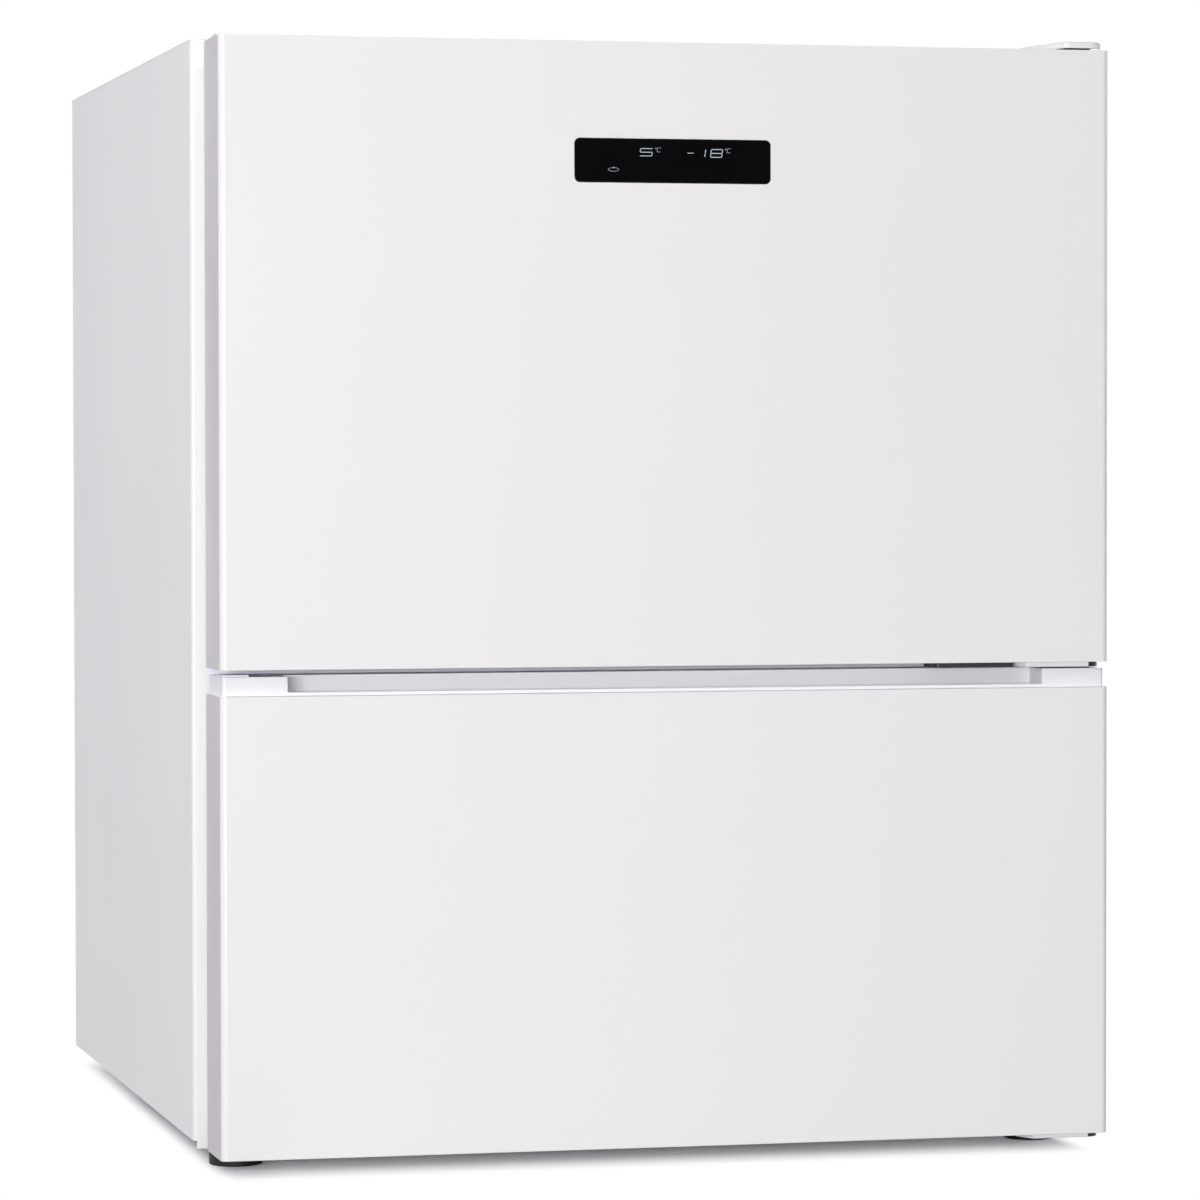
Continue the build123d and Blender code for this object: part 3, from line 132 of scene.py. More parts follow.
# Stoved polyester enamel on steel: orange peel of about 2.5 mm, a few micrometres high, and a slow
# change of gloss where hands and cloths have been. On a door, the folded sides get a greyer colour
# than the front: painted shade, for the dimmer light that falls on the sides.
def enamel(name, low_hex, high_hex, gloss, flank_shade=None):
    made = finish(name)
    worn = mottle(made, 180 * MM, gloss - 0.02, gloss + 0.03, 1.0, (0.2, 0.8))
    tint = mottle(made, 400 * MM, low_hex, high_hex, 1.0, (0.2, 0.8))
    # Painted shade: faces turned to the sides take the greyer flank colour, for the dimmer light there.
    if flank_shade:
        facing = add(made, "ShaderNodeTexCoord").outputs["Normal"]
        across = add(made, "ShaderNodeSeparateXYZ", {"Vector": facing}).outputs["X"]
        side = add(made, "ShaderNodeMath", {0: across}, operation="ABSOLUTE").outputs["Value"]
        flank_shade_ramp = ((0.90, 0.0), (0.995, 1.0))
        turned = add(made, "ShaderNodeValToRGB", {"Fac": side}, flank_shade_ramp).outputs["Color"]
        inputs = {0: turned, 6: tint, 7: colour(flank_shade)}
        tint = add(made, "ShaderNodeMix", inputs, data_type="RGBA").outputs[2]
    return surface(made, {
        "Base Color": tint,
        "Roughness": worn,
        "IOR": 1.5,
        "Normal": relief(made, 2.5 * MM, 0.004 * MM, 1.0),
    })


stoved_enamel = enamel("stoved_white_enamel", "#F2F0F1", "#F3F2F2", 0.30)


def body_of(node):
    """The name of the body that a CAD node rides on."""
    bodies = frame["record"]["behaviour"]["bodies"]
    return next(name for name, members in bodies.items() if node in members)


# The CAD mesh comes in triangles with doubled points. Points closer than WELD join, triangles that
# turn by less than FLAT become one face, and an edge that turns by more than SHARP is rounded.
WELD, SHORTEST = 0.002 * MM, 0.02 * MM
FLAT, SHARP = radians(0.6), radians(35.0)


def soften(node, material, width, segments=2, first=()):
    """Rebuilds a node's mesh with its sharp edges rounded by a width in mm, in the node's place.

    Each entry of first is a test of an edge with a width and a count of segments of its own.
    """
    source = frame["nodes"][node].data
    shape = bmesh.new()
    corners = [shape.verts.new(vertex.co) for vertex in source.vertices]
    for polygon in source.polygons:
        try:
            shape.faces.new([corners[n] for n in polygon.vertices])
        except ValueError:
            continue
    bmesh.ops.remove_doubles(shape, verts=shape.verts, dist=WELD)
    bmesh.ops.dissolve_limit(shape, angle_limit=FLAT, verts=shape.verts, edges=shape.edges)
    for test, size, steps in (*first, (None, width, segments)):
        sharp = [
            edge for edge in shape.edges
            if len(edge.link_faces) == 2 and edge.calc_face_angle(0) > SHARP
            and edge.calc_length() > SHORTEST and (test is None or test(edge))
        ]
        bmesh.ops.bevel(
            shape, geom=sharp, offset=size * MM, segments=steps, profile=0.5, affect="EDGES",
            clamp_overlap=True, harden_normals=False,
        )
    return place(node + "_made", shape, material, node)


CREASE = radians(46.0)


def place(name, shape, material, node, replaces=True):
    """Makes a piece from a bmesh, riding where a CAD node rides.

    Faces shade as one round surface, but for edges that turn by more than CREASE.
    """
    mesh = bpy.data.meshes.new(name)
    for face in shape.faces:
        face.smooth = True
    shape.to_mesh(mesh)
    shape.free()
    mesh.set_sharp_from_angle(angle=CREASE)
    piece = bpy.data.objects.new(name, mesh)
    bpy.context.scene.collection.objects.link(piece)
    mesh.materials.append(material)
    modifier = piece.modifiers.new("flat faces stay flat", "WEIGHTED_NORMAL")
    modifier.keep_sharp = True
    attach(piece, body_of(node))
    if replaces:
        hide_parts(node)
    return piece


def mark(piece, material, test):
    """Gives a second finish to the faces of a piece that pass a test of their middle and normal."""
    piece.data.materials.append(material)
    for face in piece.data.polygons:
        if test(face.center, face.normal):
            face.material_index = 1


for node in ("side_panel_left", "side_panel_right", "top_panel"):
    soften(node, stoved_enamel, 0.3)


# The back panel: flat pre-coated sheet, light grey and matt, screwed over the rear flanges.
# The step panel under it is bare zinc-coated sheet, bent once over the compressor space.
coated_sheet = finish("grey_coated_sheet")
surface(coated_sheet, {
    "Base Color": drift(coated_sheet, 400 * MM, "#CECFD1", "#D1D2D4"),
    "Roughness": drift(coated_sheet, 160 * MM, 0.46, 0.50),
    "IOR": 1.5,
    "Normal": relief(coated_sheet, 2.5 * MM, 0.004 * MM, 0.0),
})
dress(coated_sheet, "back_panel")

# Zinc-coated steel shows its spangle: flat crystals of about 12 mm that differ a little in shade.
zinc = finish("zinc_coated_steel")
spangle = add(zinc, "ShaderNodeTexVoronoi", {
    "Vector": add(zinc, "ShaderNodeTexCoord").outputs["Object"], "Scale": 1 / (12 * MM),
}).outputs["Color"]
crystal = add(zinc, "ShaderNodeSeparateColor", {"Color": spangle}).outputs["Red"]
crystal_shade = add(zinc, "ShaderNodeValToRGB", {"Fac": crystal}, ((0.0, "#AEB1B4"), (1.0, "#C3C6C9")))
crystal_gloss = add(zinc, "ShaderNodeValToRGB", {"Fac": crystal}, ((0.0, 0.30), (1.0, 0.42)))
surface(zinc, {
    "Base Color": crystal_shade.outputs["Color"],
    "Metallic": 1.0,
    "Roughness": crystal_gloss.outputs["Color"],
    "Normal": relief(zinc, 0.8 * MM, 0.01 * MM),
})
dress(zinc, "step_panel", "compressor_base", "roller_axles")


# The base frame and the centre rail: steel sheet in satin white enamel, seen at the foot of the
# cabinet and in the gap between the doors. Both are screwed to the side panels.
satin_enamel = enamel("satin_white_enamel", "#F0EDFA", "#F2EFFC", 0.42)
dress(satin_enamel, "base_frame", "mullion_rail")


# The tubs of both compartments and the inner sides of the doors: high-impact polystyrene sheet,
# drawn over a mould while hot. It is glossy, and every corner of it is round.
polystyrene = finish("high_impact_polystyrene")
surface(polystyrene, {
    "Base Color": drift(polystyrene, 2 * MM, "#EEEFEF", "#F1F2F2"),
    "Roughness": drift(polystyrene, 5 * MM, 0.30, 0.34),
    "IOR": 1.59,
    "Normal": relief(polystyrene, 3 * MM, 0.004 * MM, 0.0),
})
for node, width in (
    ("fridge_liner", 1.2), ("freezer_liner", 1.2), ("upper_door_liner", 0.5), ("lower_door_liner", 0.5),
):
    soften(node, polystyrene, width)


# The insulation: rigid polyurethane foam, poured into the closed cabinet and doors. It never shows
# on a whole article. It is pale yellow, with cells of about half a millimetre.
foam = finish("rigid_polyurethane_foam")
cells = add(foam, "ShaderNodeTexVoronoi", {
    "Vector": add(foam, "ShaderNodeTexCoord").outputs["Object"], "Scale": 1 / (0.6 * MM),
}).outputs["Distance"]
cell_shade = add(foam, "ShaderNodeValToRGB", {"Fac": cells}, ((0.0, "#E6DCA9"), (0.8, "#CDBF86")))
cell_bumps = add(foam, "ShaderNodeBump", {"Height": cells, "Distance": 0.2 * MM, "Strength": 1.0})
surface(foam, {
    "Base Color": cell_shade.outputs["Color"],
    "Roughness": 0.9,
    "Normal": cell_bumps.outputs["Normal"],
})
dress(foam, "insulation_foam", "upper_door_foam", "lower_door_foam")


# The hinges: pressed steel plates with a steel pin riveted in each. The two lower ones are zinc with
# black passivation, the top one is bright zinc. Screws hold them to the cabinet's front and top.
dark_plate = finish("black_passivated_zinc")
surface(dark_plate, {
    "Base Color": mottle(dark_plate, 6 * MM, "#3A3B3F", "#4A4B50"),
    "Metallic": 0.85,
    "Roughness": mottle(dark_plate, 2 * MM, 0.34, 0.46),
    "Normal": relief(dark_plate, 0.5 * MM, 0.008 * MM),
})
for node in ("middle_hinge_bracket", "bottom_hinge_bracket", "hinge_pins"):
    soften(node, dark_plate, 0.4)
soften("top_hinge_bracket", zinc, 0.4)
soften("hinge_screws", zinc, 0.3)


# The hinge covers, the plug in the front flange and the blanking plugs of the doors: moulded ABS,
# white and satin, with a fine spark-eroded grain, drawn coarser than it is. They clip on by hand.
abs_white = finish("satin_white_abs")
surface(abs_white, {
    "Base Color": drift(abs_white, 300 * MM, "#F3F2F6", "#F5F4F8"),
    "Roughness": drift(abs_white, 90 * MM, 0.36, 0.40),
    "IOR": 1.53,
    "Normal": relief(abs_white, 0.8 * MM, 0.003 * MM, 0.0),
})
for node in ("flange_plug", "upper_door_blank_plug", "lower_door_blank_plug"):
    soften(node, abs_white, 0.5)

# The cover over the top hinge has round corners and a rounded rim. It is a shade warmer than the
# strips clipped to the lower brackets.
COVER_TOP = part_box("hinge_covers")[1].z
UNDER_TOP_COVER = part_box("top_panel")[1].z - 20 * MM
NEAR = 0.1 * MM
CORNER_HEIGHT = 3.0 * MM


def cover_corner(edge):
    """An upright outer corner of the cover over the top hinge."""
    low, high = sorted(edge.verts, key=lambda v: v.co.z)
    return high.co.z > COVER_TOP - NEAR and high.co.z - low.co.z > CORNER_HEIGHT


def cover_rim(edge):
    """An edge round the top of that cover."""
    return all(v.co.z > COVER_TOP - NEAR for v in edge.verts)


cover_white = finish("warm_white_abs")
surface(cover_white, {
    "Base Color": drift(cover_white, 120 * MM, "#E6E5E3", "#E9E8E6"),
    "Roughness": drift(cover_white, 40 * MM, 0.40, 0.46),
    "IOR": 1.53,
    "Normal": relief(cover_white, 0.8 * MM, 0.003 * MM, 0.0),
})
covers = soften("hinge_covers", cover_white, 0.5, first=((cover_corner, 3.0, 4), (cover_rim, 1.5, 4)))
mark(covers, abs_white, lambda middle, normal: middle.z < UNDER_TOP_COVER)


# The upper door: a skin of the same stoved sheet, folded round on both long edges, between two
# moulded end caps. Dark acetal bushes and a stop plate sit in the caps at the hinge side.
# The door enamel has painted shade: the doors' folded sides take the greyer colour #C3BDC2.
door_enamel_and_flank_shade = enamel("stoved_white_door_enamel_flank_shade", "#F2F0F1", "#F3F2F2", 0.30, flank_shade="#C3BDC2")
soften("upper_door_skin", door_enamel_and_flank_shade, 0.3)
soften("upper_door_end_caps", abs_white, 0.4)
acetal = finish("dark_grey_acetal")
surface(acetal, {
    "Base Color": mottle(acetal, 10 * MM, "#26272B", "#2E3035"),
    "Roughness": mottle(acetal, 3 * MM, 0.36, 0.46),
    "IOR": 1.48,
    "Normal": relief(acetal, 0.5 * MM, 0.01 * MM),
})
soften("upper_door_bushes", acetal, 0.3)
soften("lower_door_bushes", acetal, 0.3)


# The door gaskets: soft PVC extrusions with a magnet strip inside, welded at the corners and
# pressed into a groove of the door liner. They are matt and a little uneven.
soft_pvc = finish("soft_white_pvc")
surface(soft_pvc, {
    "Base Color": drift(soft_pvc, 160 * MM, "#EAE9EE", "#EDECF1"),
    "Roughness": drift(soft_pvc, 60 * MM, 0.58, 0.64),
    "IOR": 1.52,
    "Normal": relief(soft_pvc, 2.0 * MM, 0.006 * MM, 0.0),
})
for node in ("upper_door_gasket", "lower_door_gasket"):
    soften(node, soft_pvc, 0.9, 3)


# The display: a pane of black printed glass, let into the upper door a hair below its skin. The
# digits and the touch ring are light guides under the glass, lit pale blue and drawn just proud
# of it, as thin as ink. Behind it are a moulded housing and a circuit board.
black_glass = finish("black_printed_glass")
surface(black_glass, {
    "Base Color": mottle(black_glass, 60 * MM, "#050506", "#08080A"),
    "Roughness": mottle(black_glass, 18 * MM, 0.04, 0.09, 4.0, (0.35, 0.75)),
    "IOR": 1.52,
})
soften("display_glass", black_glass, 0.4)
glass_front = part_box("display_glass")[0].y
ink_front = glass_front - 0.12 * MM

lit_blue = finish("lit_pale_blue_segment")
surface(lit_blue, {
    "Base Color": colour("#20262B"),
    "Roughness": 0.3,
    "IOR": 1.49,
    "Emission Color": mottle(lit_blue, 3 * MM, "#B4C6D2", "#C6D5DF"),
    "Emission Strength": 1.0,
})


def wafer(shape, outline, y_front, y_back):
    """A thin flat prism from an outline of (x, z) points in mm, clockwise as seen from the front."""
    front = [shape.verts.new((x * MM, y_front, z * MM)) for x, z in outline]
    back = [shape.verts.new((x * MM, y_back, z * MM)) for x, z in outline]
    shape.faces.new(front)
    shape.faces.new(back[::-1])
    for n in range(len(outline)):
        shape.faces.new((front[n - 1], back[n - 1], back[n], front[n]))


def bar(shape, start, end, width, point=0.5):
    """One lit segment: a slim bar whose two ends come to a blunt point."""
    along = (Vector(end) - Vector(start)).normalized()
    side = Vector((-along.y, along.x)) * width / 2
    tip = along * width * point
    a, b = Vector(start), Vector(end)
    outline = [a, a + tip + side, b - tip + side, b, b - tip - side, a + tip - side]
    wafer(shape, [tuple(p) for p in outline], ink_front, glass_front)


SEGMENTS = {"5": "afgcd", "1": "bc", "8": "abcdefg", "C": "afed"}
LEAN, SPLIT = 0.14, 0.22


def digit(shape, text, x_low, x_high, z_low, z_high, width):
    """A seven-segment sign between two corners, leaning a little to the right."""
    lean = (z_high - z_low) * LEAN
    middle = (z_low + z_high) / 2
    gap = width * SPLIT

    def at(x, z):
        return (x + lean * (z - z_low) / (z_high - z_low) - lean / 2, z)

    left, right = x_low + width / 2, x_high - width / 2
    low, high = z_low + width / 2, z_high - width / 2
    lines = {
        "a": ((left + gap, high), (right - gap, high)),
        "b": ((right, high - gap), (right, middle + gap)),
        "c": ((right, middle - gap), (right, low + gap)),
        "d": ((left + gap, low), (right - gap, low)),
        "e": ((left, middle - gap), (left, low + gap)),
        "f": ((left, high - gap), (left, middle + gap)),
        "g": ((left + gap, middle), (right - gap, middle)),
    }
    for name in SEGMENTS[text]:
        start, end = lines[name]
        bar(shape, at(*start), at(*end), width)


def loop(shape, x, z, half_width, half_height, width, count=40):
    """A flat oval ring."""
    def at(n, inset, y):
        turn = 2 * pi * n / count
        across, up = (half_width - inset) * sin(turn), (half_height - inset) * cos(turn)
        return shape.verts.new(((x + across) * MM, y, (z + up) * MM))

    rims = [[at(n, inset, y) for n in range(count)] for inset, y in (
        (0, glass_front), (0, ink_front), (width, ink_front), (width, glass_front))]
    for rim, following in zip(rims, rims[1:] + rims[:1]):
        for n in range(count):
            shape.faces.new((rim[n - 1], rim[n], following[n], following[n - 1]))


# The signs in mm: a plus temperature for the fridge, a minus one for the freezer, a degree sign and
# a C beside each, and the touch ring with the mark in it.
signs = bmesh.new()
digit(signs, "5", -25.4, -15.6, 753.4, 759.3, 0.48)
digit(signs, "1", 18.0, 25.0, 753.0, 759.3, 0.55)
digit(signs, "8", 28.8, 38.0, 753.0, 759.3, 0.52)
bar(signs, (11.0, 756.1), (15.9, 756.1), 0.42, 0.3)
for x in (-13.9, 39.8):
    loop(signs, x + 0.7, 759.2, 0.6, 0.5, 0.14, 20)
    digit(signs, "C", x + 1.8, x + 4.6, 756.6, 759.8, 0.18)
loop(signs, -45.4, 743.3, 4.1, 1.45, 0.2)
bar(signs, (-45.4, 744.1), (-45.4, 745.2), 0.3, 0.2)
place("display_signs", signs, lit_blue, "display_glass", replaces=False)

dress(acetal, "display_housing")
solder_mask = finish("green_solder_mask")
surface(solder_mask, {
    "Base Color": mottle(solder_mask, 1.5 * MM, "#14502C", "#1E6B3C", 0.0, (0.48, 0.54)),
    "Roughness": 0.35,
    "IOR": 1.52,
    "Normal": relief(solder_mask, 1.5 * MM, 0.03 * MM, 0.0),
})
dress(solder_mask, "display_board")


# The door bins: clear general-purpose polystyrene trays, injection moulded and hooked over lugs of
# the door liner. Their walls are 2.5 mm, and most of the light goes through them.
clear_styrene = finish("clear_polystyrene")
surface(clear_styrene, {
    "Base Color": drift(clear_styrene, 200 * MM, "#F0F5F8", "#F5F9FB"),
    "Roughness": drift(clear_styrene, 60 * MM, 0.05, 0.08),
    "IOR": 1.59,
    "Alpha": 0.24,
})
for node in ("bottle_bin", "middle_door_bin", "top_door_bin"):
    soften(node, clear_styrene, 0.8)


# The lower door: the same folded skin, with a moulded cap on top that holds the grip, a recess
# behind a low lip. The cap stands back a little from the skin. Its bottom cap carries the bush.
SKIN_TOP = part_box("lower_door_skin")[1].z
SKIN_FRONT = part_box("lower_door_skin")[0].y
# Along the top of the lower skin's front, only under the grip's lip, a darker strip is painted shadow
# of the lip, laid on the sheet's cut edge.
LIP_HALF_LENGTH = 295.8 * MM
lip_shadow_on_cut_edge = finish("painted_lip_shadow_on_cut_edge")
surface(lip_shadow_on_cut_edge, {
    "Base Color": mottle(lip_shadow_on_cut_edge, 30 * MM, "#A89DA0", "#B5ABAD"),
    "Roughness": mottle(lip_shadow_on_cut_edge, 5 * MM, 0.50, 0.62),
    "IOR": 1.5,
})
lower_skin = soften("lower_door_skin", door_enamel_and_flank_shade, 0.4)
# Painted shadow of the lip: the skin's top faces at its front, under the lip, take the darker finish.
mark(lower_skin, lip_shadow_on_cut_edge, lambda middle, normal: (
    middle.z > SKIN_TOP - 0.45 * MM and middle.y < SKIN_FRONT + 1.0 * MM
    and abs(middle.x) < LIP_HALF_LENGTH and normal.z > 0.1
))
soften("lower_door_grip_cap", abs_white, 0.5)
soften("lower_door_bottom_cap", abs_white, 0.4)


# The shelves: toughened float glass, 4 mm, with ground edges that look green. Those of the fridge
# have a white moulded trim along the front and the back.
float_glass = finish("toughened_float_glass")
surface(float_glass, {
    "Base Color": drift(float_glass, 300 * MM, "#DDEFE8", "#E2F3EC"),
    "Roughness": 0.02,
    "IOR": 1.52,
    "Alpha": 0.2,
})
ground_edge = finish("ground_edge_of_float_glass")
surface(ground_edge, {
    "Base Color": mottle(ground_edge, 40 * MM, "#86B8A6", "#9CCBBB"),
    "Roughness": mottle(ground_edge, 3 * MM, 0.34, 0.46),
    "IOR": 1.52,
})
panes = soften("shelf_glass", float_glass, 0.5)
mark(panes, ground_edge, lambda middle, normal: abs(normal.z) < 0.8)
soften("shelf_trims", abs_white, 1.0)


# The drawers: tubs of the same clear polystyrene, with a pull moulded along the top of the front.
# They slide on the floor of their compartment, and the upper freezer drawer on the shelf below it.
for node in ("crisper_drawer", "freezer_drawer_lower", "freezer_drawer_upper"):
    soften(node, clear_styrene, 0.8)


# The air duct on the fridge's rear wall and the freezer's rear cover: white ABS mouldings with
# slots for the cold air. The lamp in the ceiling has a frosted acrylic lens.
soften("air_duct", abs_white, 1.0)
soften("evaporator_cover", abs_white, 0.5)
acrylic = finish("frosted_acrylic")
surface(acrylic, {
    "Base Color": mottle(acrylic, 0.8 * MM, "#F0F0EA", "#F6F6F2"),
    "Roughness": 0.45,
    "IOR": 1.49,
    "Transmission Weight": 0.5,
    "Normal": relief(acrylic, 1.0 * MM, 0.05 * MM),
})
soften("fridge_light", acrylic, 1.0)


# The cold side behind the freezer's rear cover: an evaporator of aluminium fins pressed on
# aluminium tubes, and a small fan on a motor that hangs on two arms of the cover.
aluminium = finish("mill_finish_aluminium")
surface(aluminium, {
    "Base Color": mottle(aluminium, 20 * MM, "#C9CBCE", "#D8DADC"),
    "Metallic": 1.0,
    "Roughness": mottle(aluminium, 4 * MM, 0.26, 0.38),
})
dress(aluminium, "evaporator")
soften("fan_motor", acetal, 0.4)
soften("fan_impeller", acetal, 0.3)


# The compressor: a deep-drawn steel can in two halves, welded round its middle and dipped in black
# enamel. It stands on four rubber mounts. Soft copper tubes are brazed into it.
black_enamel = finish("black_dip_enamel")
surface(black_enamel, {
    "Base Color": mottle(black_enamel, 30 * MM, "#0B0B0C", "#141415"),
    "Roughness": mottle(black_enamel, 12 * MM, 0.24, 0.36),
    "IOR": 1.5,
    "Normal": relief(black_enamel, 2 * MM, 0.03 * MM),
})
soften("compressor", black_enamel, 1.0)
rubber = finish("black_epdm_rubber")
surface(rubber, {
    "Base Color": mottle(rubber, 8 * MM, "#121212", "#1B1B1B"),
    "Roughness": 0.75,
    "IOR": 1.5,
    "Normal": relief(rubber, 0.6 * MM, 0.04 * MM),
})
soften("compressor_mounts", rubber, 1.0)
copper = finish("drawn_copper_tube")
surface(copper, {
    "Base Color": mottle(copper, 14 * MM, "#B8704A", "#CF8B61"),
    "Metallic": 1.0,
    "Roughness": mottle(copper, 5 * MM, 0.20, 0.34),
})
dress(copper, "refrigerant_pipes")


# The rear cover over the compressor: dark grey coated sheet with rows of pressed vents. The power
# inlet is moulded in black polypropylene and snaps into it.
dark_sheet = finish("dark_grey_coated_sheet")
surface(dark_sheet, {
    "Base Color": drift(dark_sheet, 300 * MM, "#8E8F92", "#929396"),
    "Roughness": drift(dark_sheet, 120 * MM, 0.48, 0.54),
    "IOR": 1.5,
    "Normal": relief(dark_sheet, 2.0 * MM, 0.005 * MM, 0.0),
})
dress(dark_sheet, "vent_cover")
black_moulding = finish("black_polypropylene")
surface(black_moulding, {
    "Base Color": mottle(black_moulding, 10 * MM, "#09090A", "#0F0F10"),
    "Roughness": mottle(black_moulding, 4 * MM, 0.56, 0.68),
    "IOR": 1.49,
    "Normal": relief(black_moulding, 0.5 * MM, 0.02 * MM),
})
soften("power_inlet", black_moulding, 0.3)


# The feet and rollers: black polypropylene mouldings. The feet turn on a stud to level the front,
# and the rollers carry the rear.
for node in ("front_foot_left", "front_foot_right", "rear_roller_left", "rear_roller_right"):
    soften(node, black_moulding, 0.4)


# The studio: a white floor and a white surround, lit by six soft boxes. To the camera both are pure
# white, apart from the shadow on the floor, which fades out within a hand's width of the object, and a
# shadow painted into the floor below its left edge. The surround fills less from the right, and the
# gloss mirrors it darker in front and overhead.
FLOOR_TONE = 0.3
FLOOR_MIRRORED = 0.85
FLOOR_SEEN = 2.5
# The shadow fades outward from a box on the floor, quicker at its sides; below the object's left edge
# the floor's tone is darkened further, a painted shadow.
MIDDLE_OF_SHADOW = (0.0, 0.044, 0.0)
HALF_SHADOW = (0.322, 0.319, 1.0)
FADE_FROM, FADE_TO = 0.0, 0.09
SIDE_FADE = (4.5, 1.0, 1.0)
PAINTED_LEFT_SHADOW, PAINTED_LEFT_SHADOW_REACH = 0.42, (-0.33, -0.28)
FLOOR_HALF = 60.0
FILL_LEFT, FILL_RIGHT = "#8C8B91", "#62605F"
MIRRORED_BACK, MIRRORED_FRONT, MIRRORED_ABOVE = "#FFFFFF", "#2C2C2E", "#6E6E70"
OVERHEAD_FROM, OVERHEAD_TO = 0.1, 0.5

studio_floor = finish("white_studio_floor")
rays = add(studio_floor, "ShaderNodeLightPath").outputs
tone = FLOOR_TONE
for kind, level in (
    ("Is Glossy Ray", FLOOR_MIRRORED),
    ("Is Transmission Ray", FLOOR_SEEN),
    ("Is Camera Ray", FLOOR_SEEN),
):
    tone = add(studio_floor, "ShaderNodeMapRange", {
        "Value": rays[kind], "To Min": tone, "To Max": level,
    }).outputs["Result"]
spot = add(studio_floor, "ShaderNodeTexCoord").outputs["Object"]
aside = add(studio_floor, "ShaderNodeSeparateXYZ", {"Vector": spot}).outputs["X"]
# Painted shadow: the floor's tone is multiplied down below the object's left edge.
painted_left_shadow = add(studio_floor, "ShaderNodeMapRange", {
    "Value": aside, "From Min": PAINTED_LEFT_SHADOW_REACH[0], "From Max": PAINTED_LEFT_SHADOW_REACH[1], "To Min": PAINTED_LEFT_SHADOW,
}).outputs["Result"]
tone = add(studio_floor, "ShaderNodeMath", {0: tone, 1: painted_left_shadow}, operation="MULTIPLY").outputs["Value"]
for kind, other in (
    ("SUBTRACT", MIDDLE_OF_SHADOW), ("ABSOLUTE", None), ("SUBTRACT", HALF_SHADOW),
    ("MAXIMUM", (0.0, 0.0, 0.0)), ("MULTIPLY", SIDE_FADE),
):
    inputs = {0: spot, 1: other} if other else {0: spot}
    spot = add(studio_floor, "ShaderNodeVectorMath", inputs, operation=kind).outputs["Vector"]
away = add(studio_floor, "ShaderNodeVectorMath", {0: spot}, operation="LENGTH").outputs["Value"]
far = add(studio_floor, "ShaderNodeMapRange", {
    "Value": away, "From Min": FADE_FROM, "From Max": FADE_TO,
}, interpolation_type="SMOOTHSTEP").outputs["Result"]
seen = rays["Is Camera Ray"]
for kind in ("Is Glossy Ray", "Is Transmission Ray"):
    both_rays = {0: seen, 1: rays[kind]}
    seen = add(studio_floor, "ShaderNodeMath", both_rays, operation="MAXIMUM").outputs["Value"]
lift = add(studio_floor, "ShaderNodeMath", {0: seen, 1: far}, operation="MULTIPLY").outputs["Value"]
matt = add(studio_floor, "ShaderNodeBsdfDiffuse", {"Color": tone}).outputs["BSDF"]
glow = add(studio_floor, "ShaderNodeEmission", {"Strength": 1.0}).outputs["Emission"]
faded = add(studio_floor, "ShaderNodeMixShader", {0: lift, 1: matt, 2: glow}).outputs["Shader"]
add(studio_floor, "ShaderNodeOutputMaterial", {"Surface": faded})

ground = bmesh.new()
bmesh.ops.create_grid(ground, x_segments=1, y_segments=1, size=FLOOR_HALF)
floor_mesh = bpy.data.meshes.new("studio_floor")
ground.to_mesh(floor_mesh)
ground.free()
floor_mesh.materials.append(studio_floor)
floor = bpy.data.objects.new("studio_floor", floor_mesh)
bpy.context.scene.collection.objects.link(floor)

world = bpy.data.worlds.new("white_surround")
bpy.context.scene.world = world
world.use_nodes = True
world.node_tree.nodes.clear()
way = add(world, "ShaderNodeTexCoord").outputs["Generated"]
split = add(world, "ShaderNodeSeparateXYZ", {"Vector": way})
path = add(world, "ShaderNodeLightPath")
sky_colour = colour("#FFFFFF")
for ray, axis, low, high, reach in (
    ("Is Glossy Ray", "Y", MIRRORED_FRONT, MIRRORED_BACK, (-0.75, -0.1)),
    ("Is Diffuse Ray", "X", FILL_LEFT, FILL_RIGHT, (-1.0, 1.0)),
):
    share = add(world, "ShaderNodeMapRange", {
        "Value": split.outputs[axis], "From Min": reach[0], "From Max": reach[1],
    }).outputs["Result"]
    sided = add(world, "ShaderNodeValToRGB", {"Fac": share}, ((0.0, low), (1.0, high))).outputs["Color"]
    inputs = {0: path.outputs[ray], 6: sky_colour, 7: sided}
    sky_colour = add(world, "ShaderNodeMix", inputs, data_type="RGBA").outputs[2]
height = add(world, "ShaderNodeMapRange", {
    "Value": split.outputs["Z"], "From Min": OVERHEAD_FROM, "From Max": OVERHEAD_TO,
}).outputs["Result"]
inputs = {0: height, 1: path.outputs["Is Glossy Ray"]}
overhead = add(world, "ShaderNodeMath", inputs, operation="MULTIPLY").outputs["Value"]
inputs = {0: overhead, 6: sky_colour, 7: colour(MIRRORED_ABOVE)}
sky_colour = add(world, "ShaderNodeMix", inputs, data_type="RGBA").outputs[2]
sky = add(world, "ShaderNodeBackground", {"Color": sky_colour})
add(world, "ShaderNodeOutputWorld", {"Surface": sky.outputs["Background"]})


def lamp(name, place_at, aim, width, height, power, hex_value):
    """A soft box that faces a point."""
    light = bpy.data.lights.new(name, "AREA")
    light.shape = "RECTANGLE"
    light.size, light.size_y = width, height
    light.energy = power
    light.color = colour(hex_value)[:3]
    holder = bpy.data.objects.new(name, light)
    bpy.context.scene.collection.objects.link(holder)
    holder.location = place_at
    holder.rotation_euler = (Vector(aim) - Vector(place_at)).to_track_quat("-Z", "Y").to_euler()


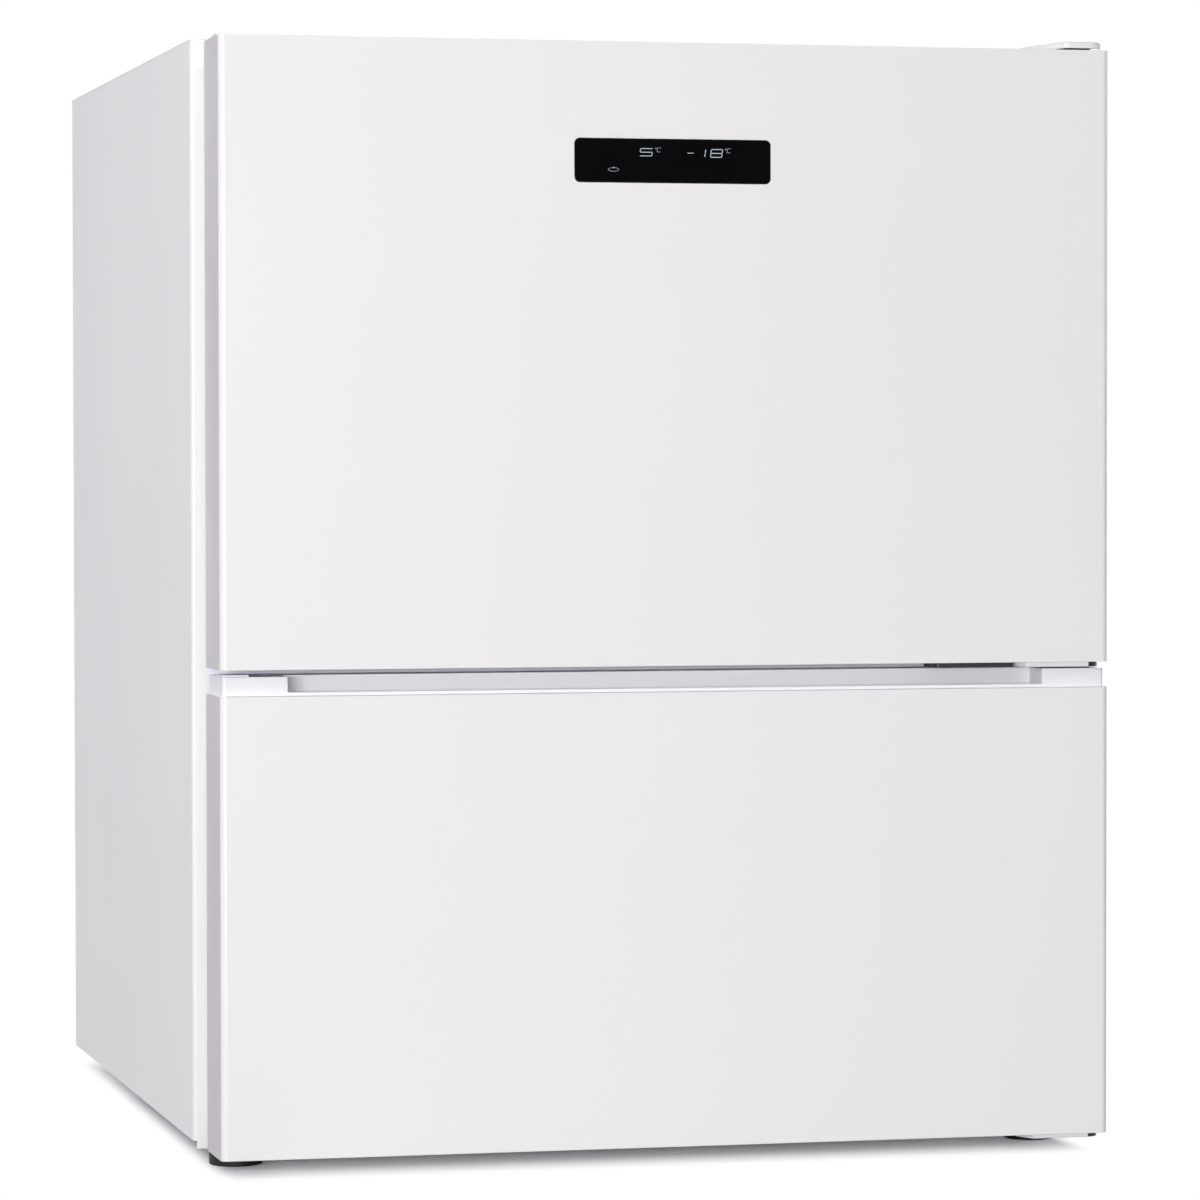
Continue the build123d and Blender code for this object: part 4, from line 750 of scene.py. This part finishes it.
lamp("low_front_soft_box", (-1.6, -4.2, 0.54), (0.0, -0.36, 0.50), 2.0, 0.35, 105.0, "#FFFFFF")
lamp("high_front_soft_box", (-2.8, -2.7, 1.9), (0.0, -0.36, 0.42), 1.6, 0.9, 18.0, "#FFFFFF")
lamp("left_soft_box", (-4.0, 1.3, 3.0), (-0.35, 0.0, 0.45), 2.2, 2.0, 50.0, "#F2F1FF")
lamp("top_soft_box", (-0.5, -2.2, 5.2), (0.0, -0.3, 0.0), 3.2, 3.2, 90.0, "#FFFFFF")
lamp("back_soft_box", (1.2, 5.8, 0.75), (0.0, 0.36, 0.45), 3.0, 1.4, 170.0, "#FFFFFF")
lamp("right_soft_box", (5.4, 1.8, 1.6), (0.35, 0.0, 0.45), 2.6, 2.0, 36.0, "#FFFFFF")


# The camera: at the photograph's place, a little left of the middle and just above half height,
# looking slightly down. Its place and lens come from the fit of the cabinet's measured corners.
CAMERA_PLACE = (-0.9411, -4.0432, 0.5243)
CAMERA_YAW = radians(13.52)
CAMERA_PITCH = radians(-1.509)
CAMERA_ROLL = radians(-0.067)
FOCAL_PIXELS, PHOTO_PIXELS = 5108, 1200
SENSOR_WIDTH = 36.0

level = cos(CAMERA_PITCH)
ahead = Vector((sin(CAMERA_YAW) * level, cos(CAMERA_YAW) * level, sin(CAMERA_PITCH)))
level_right = Vector((cos(CAMERA_YAW), -sin(CAMERA_YAW), 0.0))
level_up = level_right.cross(ahead)
right = level_right * cos(CAMERA_ROLL) + level_up * sin(CAMERA_ROLL)
up = level_up * cos(CAMERA_ROLL) - level_right * sin(CAMERA_ROLL)
lens = bpy.data.cameras.new("photo_camera")
lens.lens = FOCAL_PIXELS / PHOTO_PIXELS * SENSOR_WIDTH
lens.sensor_width = SENSOR_WIDTH
lens.clip_end = 100.0
camera = bpy.data.objects.new("photo_camera", lens)
bpy.context.scene.collection.objects.link(camera)
turned = Matrix((right, up, -ahead)).transposed().to_4x4()
camera.matrix_world = Matrix.Translation(CAMERA_PLACE) @ turned
bpy.context.scene.camera = camera
bpy.context.scene.view_settings.view_transform = "Standard"

bpy.context.view_layer.update()
